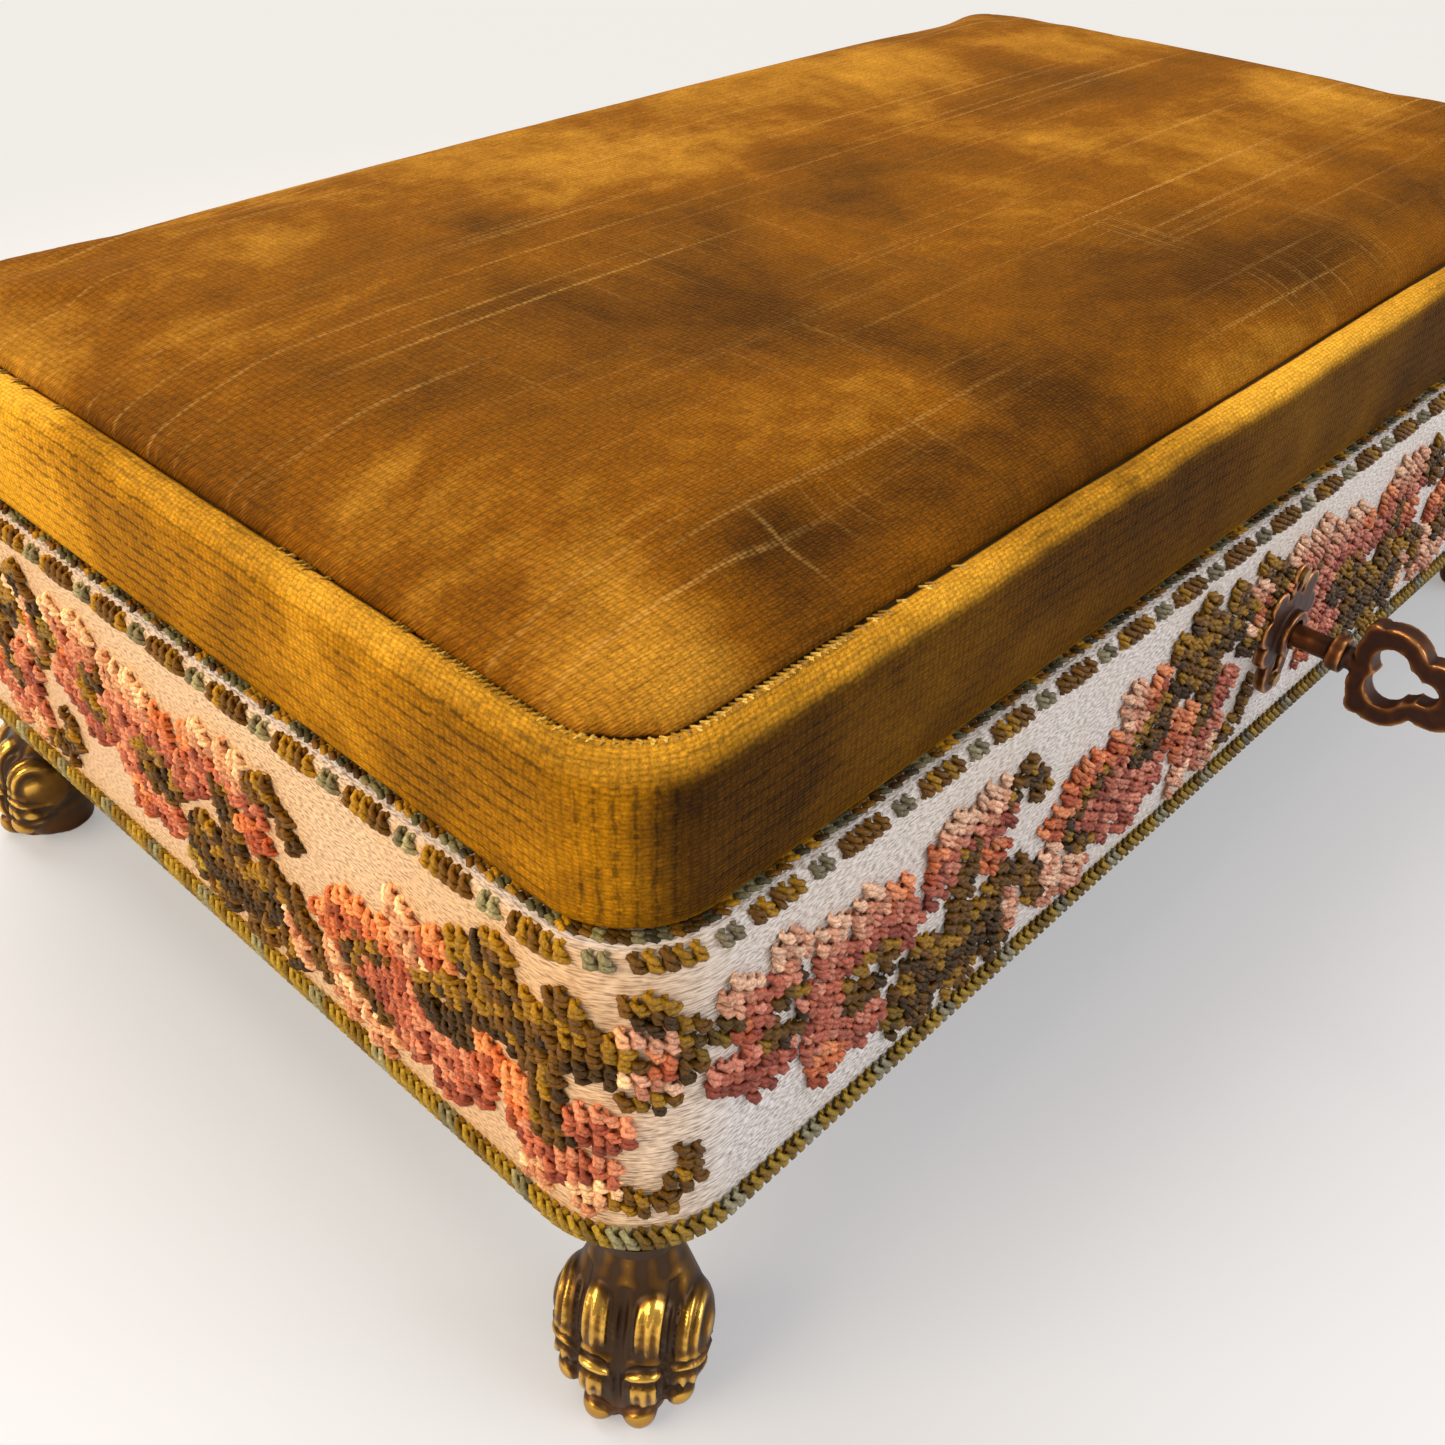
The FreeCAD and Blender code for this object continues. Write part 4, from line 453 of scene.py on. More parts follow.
# %% Petals and leaves of one repeat: (thread, along, height, half width, half height)
PETALS = [
    ("coral", -34.4, 35.6, 2.7, 2.3), ("coral", -30.8, 38.6, 3.3, 2.6), ("pale", -35.0, 31.0, 2.3, 2.1),
    ("pale", -33.8, 27.2, 2.2, 2.7), ("pale", -29.2, 26.4, 2.3, 2.6), ("rose", -28.4, 33.0, 2.8, 2.6),
    ("rose", -24.0, 34.2, 4.6, 5.4), ("rose", -19.5, 31.2, 6.0, 2.8), ("coral", -25.0, 39.0, 2.7, 2.5),
    ("pale", -21.0, 40.6, 3.2, 2.0), ("pale", -23.5, 43.9, 2.2, 2.2), ("coral", -19.0, 43.1, 2.3, 2.3),
    ("rose", -24.0, 28.3, 2.2, 1.9), ("rose", -19.4, 27.8, 2.2, 2.3), ("rose", -15.8, 31.0, 2.2, 2.6),
    ("coral", -13.6, 35.4, 1.6, 2.8), ("olive", -18.8, 37.0, 4.0, 3.5), ("olive", -16.2, 39.8, 2.6, 2.2),
    ("olive", -15.3, 45.4, 1.5, 2.1), ("olive", -11.5, 47.8, 2.3, 2.1), ("olive", -4.8, 47.3, 2.0, 2.1),
    ("olive", -9.0, 43.9, 6.4, 3.0), ("olive", -2.6, 43.0, 3.3, 2.7), ("olive", -12.4, 41.2, 3.8, 2.2),
    ("olive", -10.0, 39.6, 1.5, 1.7), ("coral", -10.2, 32.6, 1.7, 4.2), ("rose", -2.8, 34.8, 2.4, 2.9),
    ("rose", -6.0, 29.3, 5.0, 2.9), ("pale", -9.0, 26.4, 2.0, 2.1), ("pale", -3.5, 26.6, 2.3, 2.3),
    ("olive", 1.4, 47.8, 2.1, 1.6), ("pale", 0.2, 45.6, 1.2, 0.9), ("pale", 0.2, 40.6, 1.2, 0.9),
    ("olive", 1.5, 38.2, 2.1, 1.2),
    ("pale", 8.5, 46.0, 1.9, 2.3), ("pale", 13.9, 46.3, 2.1, 2.4), ("rose", 11.3, 42.4, 4.2, 2.6),
    ("coral", 8.4, 42.6, 1.3, 1.6), ("rose", 8.0, 38.4, 2.9, 2.1), ("rose", 11.8, 35.3, 2.8, 2.5),
    ("rose", 10.4, 38.0, 3.2, 2.2),
    ("pale", 18.4, 44.2, 1.9, 2.2), ("pale", 23.0, 44.6, 2.4, 2.3), ("coral", 27.0, 42.8, 2.0, 1.7),
    ("rose", 28.3, 38.6, 2.2, 2.7), ("rose", 18.7, 38.0, 3.7, 5.0), ("rose", 24.0, 40.6, 5.0, 2.3),
    ("rose", 19.4, 33.6, 3.6, 3.0), ("coral", 18.8, 30.0, 2.2, 2.7), ("rose", 23.8, 30.6, 2.6, 2.8),
    ("olive", 24.2, 36.2, 4.0, 3.3),
    ("sage", 28.8, 27.9, 1.9, 2.5), ("olive", 32.2, 26.2, 2.1, 2.7), ("olive", 38.4, 24.9, 2.4, 2.6),
    ("olive", 43.6, 26.4, 1.9, 2.4), ("olive", 36.0, 30.4, 8.6, 3.5), ("olive", 42.2, 32.2, 2.6, 2.6),
    ("olive", 31.4, 33.2, 2.3, 2.0), ("pale", 34.6, 45.4, 2.3, 2.4), ("pale", 39.3, 45.4, 2.4, 2.3),
    ("coral", 32.4, 43.0, 1.8, 2.3), ("rose", 32.8, 40.0, 1.9, 2.4), ("coral", 41.0, 38.5, 2.2, 2.3),
]
# Stems, rings and tendrils: (thread, width, points)
STROKES = [
    ("olive", 2.3, [(-26.9, 36.8), (-30.0, 36.2), (-31.8, 33.2), (-30.6, 30.2), (-27.4, 29.5)]),
    ("olive", 3.3, [(-6.6, 41.0), (-6.4, 32.4)]),
    ("pale", 1.7, [(2.1, 45.3), (2.1, 40.4)]), ("coral", 1.7, [(2.1, 43.4), (2.1, 41.9)]),
    ("olive", 1.9, [(4.0, 46.4), (4.0, 40.6)]), ("sage", 2.3, [(5.2, 43.4), (7.0, 43.9)]),
    ("olive", 2.3, [(-1.2, 26.2), (2.2, 26.4), (3.8, 28.4), (3.9, 31.5)]),
    ("olive", 2.1, [(15.2, 42.3), (12.6, 41.6), (11.7, 39.3), (13.5, 37.4), (15.4, 38.0)]),
    ("rose", 2.5, [(33.0, 42.3), (42.2, 42.1)]), ("olive", 3.4, [(36.6, 41.0), (36.8, 34.2)]),
    ("olive", 2.5, [(42.7, 44.2), (44.5, 46.0), (46.8, 44.2), (47.4, 41.4)]),
    ("olive", 2.6, [(42.4, 35.1), (45.6, 33.8), (48.5, 31.4), (49.4, 28.2)]),
    ("pale", 1.9, [(44.2, 31.4), (46.1, 29.0), (45.6, 27.0)]),
]
# Bare places inside the rings, where the satin shows
HOLES = [(-19.3, 37.2, 1.3, 1.0), (13.9, 40.1, 1.1, 0.9), (24.2, 36.5, 1.5, 0.9)]
REPEAT_START = -45.0


def in_oval(along, height, oval):
    """Whether a place lies in an ellipse (middle along, middle height, half width, half height)."""
    along_mid, height_mid, half_wide, half_high = oval
    return ((along - along_mid) / half_wide) ** 2 + ((height - height_mid) / half_high) ** 2 <= 1


def distance_to_stroke(along, height, points):
    """The shortest distance from a place to a line through points."""
    best = 1e9
    for (a, b), (c, d) in zip(points, points[1:]):
        long2 = (c - a) ** 2 + (d - b) ** 2
        t = max(0.0, min(1.0, ((along - a) * (c - a) + (height - b) * (d - b)) / long2))
        best = min(best, math.hypot(along - a - (c - a) * t, height - b - (d - b) * t))
    return best


def thread_at(along, height):
    """The thread of the pattern at a place, and how far up its petal it lies, or None where satin shows."""
    found = None
    for shift in (-REPEAT_LONG, 0.0, REPEAT_LONG):
        place = along + shift
        for thread, *oval in PETALS:
            if in_oval(place, height, oval):
                found = (thread, (height - oval[1]) / oval[3])
        for thread, wide, points in STROKES:
            if distance_to_stroke(place, height, points) <= wide / 2:
                found = (thread, 0.0)
        for hole in HOLES:
            if in_oval(place, height, hole):
                return None
    return found


print(len(PETALS), "petals and leaves,", len(STROKES), "strokes")

# %% Where every stitch goes
# The stitched field: its foot, the height of a row and the number of rows, in mm
FIELD_LOW, ROW_HIGH, FIELD_ROWS = 23.9, 1.42, 19
# The dashes above it, the foot row below it, and the row that lies flat on the rim
DASH_AT, FOOT_AT, RIM_AT = 52.6, 21.55, BASE_TOP - 0.45
# Nine columns make one beat of these rows: five olive dashes, a gap, two grey ones and a gap
BEAT, OLIVE_DASHES, GREY_DASHES = 9, (0, 1, 2, 3, 4), (6, 7)
FLAT = math.radians(-90)


def lay_stitches():
    """A list of (side, place, turn, size, colour) for every stitch, with the places in metres."""
    dice = random.Random(7)
    laid = []

    def add(distance, inset, height, tilt, lean, size, thread, shade):
        x, y, heading = along_ribbon(distance)
        out = Vector((math.sin(heading), -math.cos(heading), 0))
        place = (Vector((x, y, height)) - out * inset) * MM
        code = colour(THREADS[thread][shade])
        side = ["front", "right", "back", "left"][int(((math.degrees(heading) + 45) % 360) // 90)]
        light = dice.uniform(0.82, 1.16)
        # A random tone for each stitch, times the painted light of its side
        tone = tuple(min(1.0, c * light * fade) for c, fade in zip(code, SIDE_LIGHT_TINTS[side])) + (1.0,)
        # A stitch on the wall leans in the wall's plane, and one that lies flat leans in the rim's
        turned = Euler((tilt, 0.0, heading + lean) if tilt == FLAT else (tilt, lean, heading))
        laid.append((side, place, turned, size, tone))

    for column in range(REPEATS * STITCHES_PER_REPEAT):
        distance = (column + 0.5) * STITCH_WIDE
        along = (distance - REPEAT_START) % REPEAT_LONG + REPEAT_START
        stagger = ROW_HIGH * (0.25 if column % 2 else -0.25)
        for row in range(FIELD_ROWS):
            height = FIELD_LOW + ROW_HIGH * (row + 0.5) + stagger
            found = thread_at(along, height)
            if found is None:
                continue
            thread, up_petal = found
            # Each petal is light at its top edge and deep at its foot
            shade = 0 if up_petal > 0.35 else 1 if up_petal > -0.3 else 2
            shade = max(0, min(2, shade + dice.choice((-1, 0, 0, 0, 1))))
            lean = math.radians(-24 + dice.uniform(-26, 26))
            add(distance + dice.uniform(-0.16, 0.16), dice.uniform(-0.15, 0.1),
                height + dice.uniform(-0.2, 0.2), dice.uniform(-0.2, 0.2), lean,
                (dice.uniform(0.9, 1.15), 1.0, dice.uniform(0.82, 1.12)), thread, shade)
        beat = column % BEAT
        if beat in OLIVE_DASHES + GREY_DASHES:
            tall = 0.85 if beat in GREY_DASHES else 1.1 if beat in (1, 2, 3) else 0.95
            add(distance, 0.12, DASH_AT, -0.3, math.radians(-22 + dice.uniform(-12, 12)),
                (0.95, 1.0, tall), "grey" if beat in GREY_DASHES else "olive", dice.choice((0, 1, 1)))
        add(distance, 0.1, FOOT_AT, 0.22, math.radians(-20), (1.05, 1.15, 1.7),
            "sage" if beat < 7 else "grey", dice.choice((0, 0, 1)))
        # The rim row under the lid's edge: some of its stitches use grey thread darkened with painted shade
        add(distance, 1.6 + dice.uniform(-0.12, 0.12), RIM_AT, FLAT,
            math.radians(20 + dice.uniform(-15, 15)), (1.25, 0.8, 1.0),
            "lid_shaded_grey" if beat in (0, 1, 2, 6) else "olive", dice.choice((0, 1, 2)))
    return laid


stitches = lay_stitches()
SIDES = ("front", "right", "back", "left")
print(len(stitches), "stitches:", {side: sum(one[0] == side for one in stitches) for side in SIDES})

# %% [markdown]
# ## One stitch, many times
# A stitch is a short length of two-ply thread that comes up, arches over and goes down again.
# A Geometry Nodes tree twists two thin strands round each other and puts one such stitch on every
# point of a point mesh, whose attributes give the turn, the size and the thread's colour.
# The strands have five sides each, because the stitch is there thousands of times.

# %% The stitch tree
def build_stitch_tree():
    """The tree that puts one two-ply stitch on every point it is given."""
    tree = bpy.data.node_groups.new("two_ply_stitch", "GeometryNodeTree")
    tree.interface.new_socket("Geometry", in_out="OUTPUT", socket_type="NodeSocketGeometry")
    tree.interface.new_socket("Geometry", in_out="INPUT", socket_type="NodeSocketGeometry")
    for name, value in (("Stitch Length", 1.8 * MM), ("Strand Radius", 0.31 * MM),
                        ("Twist Radius", 0.25 * MM), ("Turns", 0.62), ("Arch", 0.4 * MM)):
        socket = tree.interface.new_socket(name, in_out="INPUT", socket_type="NodeSocketFloat")
        socket.default_value, socket.min_value, socket.max_value = value, 0.0, 10.0
    entry = add_node(tree, "NodeGroupInput")
    leave = add_node(tree, "NodeGroupOutput")
    strand = add_node(tree, "GeometryNodeCurveSpiral",
                      {"Resolution": 6, "Rotations": entry.outputs["Turns"],
                       "Start Radius": entry.outputs["Twist Radius"],
                       "End Radius": entry.outputs["Twist Radius"], "Height": entry.outputs["Stitch Length"]})
    other = add_node(tree, "GeometryNodeTransform",
                     {"Geometry": strand.outputs[0], "Rotation": (0.0, 0.0, math.pi)})
    pair = add_node(tree, "GeometryNodeJoinGeometry")
    tree.links.new(strand.outputs[0], pair.inputs[0])
    tree.links.new(other.outputs[0], pair.inputs[0])
    # Along the stitch, from 0 to 1, a hump that is highest in the middle: it thickens and lifts the thread
    share = add_node(tree, "GeometryNodeSplineParameter")
    angle = add_node(tree, "ShaderNodeMath", {0: share.outputs["Factor"], 1: math.pi}, operation="MULTIPLY")
    hump = add_node(tree, "ShaderNodeMath", {0: angle.outputs[0]}, operation="SINE")
    thick = add_node(tree, "ShaderNodeMapRange", {"Value": hump.outputs[0], "To Min": 0.45, "To Max": 1.0,
                                                  "From Max": 0.8})
    tapered = add_node(tree, "GeometryNodeSetCurveRadius",
                       {"Curve": pair.outputs[0], "Radius": thick.outputs["Result"]})
    rise = add_node(tree, "ShaderNodeMath", {0: hump.outputs[0], 1: entry.outputs["Arch"]},
                    operation="MULTIPLY")
    out = add_node(tree, "ShaderNodeMath", {0: rise.outputs[0], 1: -1.0}, operation="MULTIPLY")
    drop = add_node(tree, "ShaderNodeMath", {0: entry.outputs["Stitch Length"], 1: -0.5},
                    operation="MULTIPLY")
    shift = add_node(tree, "ShaderNodeCombineXYZ", {"Y": out.outputs[0], "Z": drop.outputs[0]})
    arched = add_node(tree, "GeometryNodeSetPosition",
                      {"Geometry": tapered.outputs[0], "Offset": shift.outputs[0]})
    around = add_node(tree, "GeometryNodeCurvePrimitiveCircle",
                      {"Resolution": 5, "Radius": entry.outputs["Strand Radius"]}, mode="RADIUS")
    tube = add_node(tree, "GeometryNodeCurveToMesh",
                    {"Curve": arched.outputs[0], "Profile Curve": around.outputs[0], "Fill Caps": True})
    turned = add_node(tree, "GeometryNodeInputNamedAttribute", {"Name": "stitch_turn"},
                      data_type="FLOAT_VECTOR")
    sized = add_node(tree, "GeometryNodeInputNamedAttribute", {"Name": "stitch_size"},
                     data_type="FLOAT_VECTOR")
    placed = add_node(tree, "GeometryNodeInstanceOnPoints",
                      {"Points": entry.outputs["Geometry"], "Instance": tube.outputs[0],
                       "Rotation": turned.outputs[0], "Scale": sized.outputs[0]})
    real = add_node(tree, "GeometryNodeRealizeInstances", {0: placed.outputs[0]})
    dressed = add_node(tree, "GeometryNodeSetMaterial",
                       {"Geometry": real.outputs[0], "Material": cotton_thread})
    tree.links.new(dressed.outputs[0], leave.inputs[0])
    return tree


stitch_tree = build_stitch_tree()
print("stitch tree with", len(stitch_tree.nodes), "nodes")

# %% Run the tree over points
def point_cloud(name, laid):
    """A mesh of bare points with each point's turn, size and thread colour."""
    cloud = new_mesh_object(name, [one[1] for one in laid], [])
    for index, key, kind, field in ((2, "stitch_turn", "FLOAT_VECTOR", "vector"),
                                    (3, "stitch_size", "FLOAT_VECTOR", "vector"),
                                    (4, "thread_colour", "FLOAT_COLOR", "color")):
        values = cloud.data.attributes.new(key, kind, "POINT")
        values.data.foreach_set(field, [c for one in laid for c in one[index]])
    return cloud


def keep_evaluated(thing):
    """Replaces an object's mesh by what its modifiers make of it, and removes them."""
    bpy.context.view_layer.update()
    graph = bpy.context.evaluated_depsgraph_get()
    mesh = bpy.data.meshes.new_from_object(thing.evaluated_get(graph), preserve_all_data_layers=True,
                                           depsgraph=graph)
    thing.modifiers.clear()
    old = thing.data
    thing.data = mesh
    bpy.data.meshes.remove(old)


def grow(thing, tree, sizes):
    """Runs a Geometry Nodes tree on an object, with its sizes set by identifier, and keeps a plain mesh."""
    modifier = thing.modifiers.new("grow", "NODES")
    modifier.node_group = tree
    named = {item.name: item.identifier for item in tree.interface.items_tree if item.item_type == "SOCKET"}
    for name, value in sizes.items():
        modifier[named[name]] = value
    keep_evaluated(thing)


# %% One piece of stitches for each short side and each half of a long one
RIBBON_STITCH = {"Stitch Length": 1.6 * MM, "Turns": 0.95, "Arch": 0.5 * MM,
                 "Strand Radius": 0.29 * MM, "Twist Radius": 0.3 * MM}
for side in SIDES:
    ready = [one for one in stitches if one[0] == side]
    halves = {"": ready} if side in ("left", "right") else {
        "_left": [one for one in ready if one[1].x < 0],
        "_right": [one for one in ready if one[1].x >= 0]}
    for half, laid in halves.items():
        cloud = point_cloud("stitches_" + side + half, laid)
        grow(cloud, stitch_tree, RIBBON_STITCH)
        hand_over(cloud, "casket_base", None)

# %% [markdown]
# ## Velvet
# The lid is covered with old cotton velvet. Its pile stands in small tufts on a square weave, it
# shines gold where the tufts are seen from the side, and years of hands have brushed it into
# light and dark patches and worn a few straight lines down to the weave. Sheen gives the glow
# of the pile, a cell pattern at the real tuft spacing gives the bump, a painted highlight on the
# tufts' tips and painted shade between them, and slow noise gives the patches. Round the lid's
# corners the pile bends open, and the dark gaps between the tufts are painted shade. The border's
# strip was cut across the roll, so its nap looks different on neighbouring sides. That, together
# with the light falling on each side, is painted by the way each wall faces.

# %% The nap's light and dark
TUFT_PITCH = 0.62 * MM
TUFT_ROW = 0.36 * MM
# Repeats per metre of the broad patches, of the finer crush and of single fibres
PATCH_SCALE, CRUSH_SCALE, FIBRE_SCALE = 30.0, 260.0, 5200.0


def lay_nap(tree, place, chosen, stops, contrast):
    """The pile's patches and crush, and the colour they give with the places brushed by hand."""
    patches = add_node(tree, "ShaderNodeTexNoise", {"Vector": place, "Scale": PATCH_SCALE, "Detail": 7.0,
                                                    "Roughness": 0.62, "Distortion": 0.35})
    crush = add_node(tree, "ShaderNodeTexNoise", {"Vector": place, "Scale": CRUSH_SCALE, "Detail": 4.0,
                                                  "Roughness": 0.65, "Distortion": 0.5})
    broad = add_node(tree, "ShaderNodeMath", {0: patches.outputs["Fac"], 1: 0.85, 2: chosen},
                     operation="MULTIPLY_ADD")
    mixed = add_node(tree, "ShaderNodeMath", {0: crush.outputs["Fac"], 1: 0.15, 2: broad.outputs[0]},
                     operation="MULTIPLY_ADD")
    nap = add_node(tree, "ShaderNodeMapRange", {"Value": mixed.outputs[0], "From Min": 0.5 - contrast,
                                                "From Max": 0.5 + contrast})
    hue = add_node(tree, "ShaderNodeValToRGB", {"Fac": nap.outputs["Result"]}, stops=stops)
    return patches.outputs["Fac"], crush.outputs["Fac"], hue.outputs["Color"]


print("nap patches about", round(1000 / PATCH_SCALE), "mm wide, crush", round(1000 / CRUSH_SCALE, 1), "mm")

# %% Tufts in their rows
def stand_tufts(tree, lay):
    """Sockets for the tufts' rows, their tips, a random share of each, their hairs and their speckle, which
    paints a highlight on each tip and shade between the tufts.
    """
    rows = add_node(tree, "ShaderNodeMapping", {"Vector": lay, "Scale": (1 / TUFT_PITCH, 1 / TUFT_ROW, 1.0)})
    cells = add_node(tree, "ShaderNodeTexVoronoi", {"Vector": rows.outputs[0], "Scale": 1.0,
                                                    "Randomness": 0.36},
                     feature="F1", distance="EUCLIDEAN")
    tip = add_node(tree, "ShaderNodeMapRange", {"Value": cells.outputs["Distance"], "From Min": 0.0,
                                                "From Max": 0.7, "To Min": 1.0, "To Max": 0.0})
    each = add_node(tree, "ShaderNodeSeparateColor", {"Color": cells.outputs["Color"]})
    fibre = add_node(tree, "ShaderNodeTexNoise", {"Vector": lay, "Scale": FIBRE_SCALE, "Detail": 2.0})
    uneven = add_node(tree, "ShaderNodeMath", {0: each.outputs[0], 1: 0.4, 2: 0.5}, operation="MULTIPLY_ADD")
    gleam = add_node(tree, "ShaderNodeMath", {0: tip.outputs["Result"], 1: uneven.outputs[0]},
                     operation="MULTIPLY")
    hairy = add_node(tree, "ShaderNodeMath", {0: fibre.outputs["Fac"], 1: 1.1, 2: gleam.outputs[0]},
                     operation="MULTIPLY_ADD")
    tuft_highlight_shade = add_node(tree, "ShaderNodeMapRange", {"Value": hairy.outputs[0], "From Min": 0.4,
                                                  "From Max": 1.35, "To Min": 0.5, "To Max": 1.5})
    return {"rows": rows.outputs[0], "tip": tip.outputs["Result"], "share": each.outputs[1],
            "hairy": hairy.outputs[0], "tuft_highlight_shade": tuft_highlight_shade.outputs["Result"]}


print("velvet tufts every", TUFT_PITCH / MM, "mm in rows", TUFT_ROW / MM, "mm apart")

# %% Painted shade in the gaps, side tints with painted light, and the shoulder's painted highlight
def part_pile(tree, tufts, normal, crush, patches, gap_share):
    """How open the pile is: across the strip at the lid's corners, and along it on the straight sides. Where
    it is open, painted shade fills the gaps.
    """
    columns = add_node(tree, "ShaderNodeSeparateXYZ", {"Vector": tufts["rows"]})
    along = add_node(tree, "ShaderNodeMath", {0: columns.outputs["Y"], 1: 0.55}, operation="MULTIPLY")
    both_ways = add_node(tree, "ShaderNodeMath", {0: normal["X"], 1: normal["Y"]}, operation="MULTIPLY")
    slant = add_node(tree, "ShaderNodeMath", {0: both_ways.outputs[0]}, operation="ABSOLUTE")
    corner = add_node(tree, "ShaderNodeMapRange", {"Value": slant.outputs[0], "From Min": 0.08,
                                                   "From Max": 0.3})
    counted = add_node(tree, "ShaderNodeMix", {0: corner.outputs["Result"], 2: along.outputs[0],
                                               3: columns.outputs["X"]}, data_type="FLOAT")
    wobble = add_node(tree, "ShaderNodeMath", {0: crush, 1: 1.6, 2: counted.outputs[0]},
                      operation="MULTIPLY_ADD")
    part = add_node(tree, "ShaderNodeMath", {0: wobble.outputs[0], 1: 1.0}, operation="PINGPONG")
    broken = add_node(tree, "ShaderNodeMath", {0: tufts["share"], 1: 0.35, 2: part.outputs[0]},
                      operation="MULTIPLY_ADD")
    gap = add_node(tree, "ShaderNodeMapRange", {"Value": broken.outputs[0], "From Min": 0.85,
                                                "From Max": 1.15})
    gap_here = add_node(tree, "ShaderNodeMapRange", {"Value": patches, "From Min": 0.42, "From Max": 0.62,
                                                     "To Min": gap_share, "To Max": 0.25 * gap_share})
    deep = add_node(tree, "ShaderNodeMath", {0: gap.outputs["Result"], 1: gap_here.outputs["Result"]},
                    operation="MULTIPLY")
    return deep.outputs[0]


def tint_sides_nap_and_light(tree, cloth, normal, short_side, long_side):
    """Multiplies the colour by one tint on the short sides and another on the long ones: the nap's look and
    painted light together.
    """
    towards_front = add_node(tree, "ShaderNodeMath", {0: normal["Y"]}, operation="ABSOLUTE")
    share = add_node(tree, "ShaderNodeMapRange", {"Value": towards_front.outputs[0], "From Min": 0.6,
                                                  "From Max": 0.98}, interpolation_type="SMOOTHSTEP")
    tint = add_node(tree, "ShaderNodeMix", {0: share.outputs["Result"], 6: colour(short_side),
                                            7: colour(long_side)}, data_type="RGBA")
    tinted = add_node(tree, "ShaderNodeMix", {0: 1.0, 6: cloth, 7: tint.outputs[2]}, data_type="RGBA",
                      blend_type="MULTIPLY")
    return tinted.outputs[2]


def paint_shoulder_highlight(tree, cloth, place, patches, tuft_highlight_shade, code):
    """A painted highlight on the border's shoulder, the sheen of the pile seen from its side, in uneven
    patches.
    """
    height = add_node(tree, "ShaderNodeSeparateXYZ", {"Vector": place})
    near = add_node(tree, "ShaderNodeMapRange", {"Value": height.outputs["Z"],
                                                 "From Min": (BORDER_TOP - 1.9) * MM,
                                                 "From Max": (BORDER_TOP - 0.3) * MM, "To Max": 0.5},
                    interpolation_type="SMOOTHSTEP")
    glow = add_node(tree, "ShaderNodeVectorMath", {0: colour(code)[:3], "Scale": tuft_highlight_shade}, operation="SCALE")
    patchy = add_node(tree, "ShaderNodeMapRange", {"Value": patches, "From Min": 0.38, "From Max": 0.6,
                                                   "To Min": 0.2, "To Max": 1.25})
    shone = add_node(tree, "ShaderNodeMath", {0: near.outputs["Result"], 1: patchy.outputs["Result"]},
                     operation="MULTIPLY")
    bright = add_node(tree, "ShaderNodeMix", {0: shone.outputs[0], 6: cloth, 7: glow.outputs[0]},
                      data_type="RGBA")
    return bright.outputs[2]


print("the border gets gaps, side tints and a light shoulder")

# %% Lines worn down to the weave
LINE_SCALES = ((11.0, 900.0, 1.0), (900.0, 20.0, 1.0))
ZONE_SCALE = (16.0, 45.0, 1.0)


def wear_lines(tree, cloth, place, chosen, tip, line_share):
    """Thin pale lines along the lid, crossed by others where the nap was brushed dark."""
    crossed = add_node(tree, "ShaderNodeMapRange", {"Value": chosen, "From Min": -0.05, "From Max": -0.13,
                                                    "To Max": 0.8})
    ways = []
    for scale in LINE_SCALES:
        stretch = add_node(tree, "ShaderNodeMapping", {"Vector": place, "Scale": scale})
        thread = add_node(tree, "ShaderNodeTexNoise", {"Vector": stretch.outputs[0], "Scale": 1.0,
                                                       "Detail": 1.0})
        one_way = add_node(tree, "ShaderNodeMapRange", {"Value": thread.outputs["Fac"], "From Min": 0.59,
                                                        "From Max": 0.7})
        ways.append(one_way.outputs["Result"])
    across = add_node(tree, "ShaderNodeMath", {0: ways[1], 1: crossed.outputs["Result"]},
                      operation="MULTIPLY")
    thin = add_node(tree, "ShaderNodeMath", {0: ways[0], 1: across.outputs[0]}, operation="MAXIMUM")
    worn_zone = add_node(tree, "ShaderNodeMapping", {"Vector": place, "Scale": ZONE_SCALE})
    zone = add_node(tree, "ShaderNodeTexNoise", {"Vector": worn_zone.outputs[0], "Scale": 1.0, "Detail": 2.0})
    here = add_node(tree, "ShaderNodeMapRange", {"Value": zone.outputs["Fac"], "From Min": 0.38,
                                                 "From Max": 0.6, "To Max": line_share})
    dotted = add_node(tree, "ShaderNodeMath", {0: thin.outputs[0], 1: tip}, operation="MULTIPLY")
    line = add_node(tree, "ShaderNodeMath", {0: dotted.outputs[0], 1: here.outputs["Result"]},
                    operation="MULTIPLY")
    shown = add_node(tree, "ShaderNodeMix", {0: line.outputs[0], 6: cloth, 7: colour("#D9A95A")},
                     data_type="RGBA")
    return shown.outputs[2]


print("worn lines run", len(LINE_SCALES), "ways")

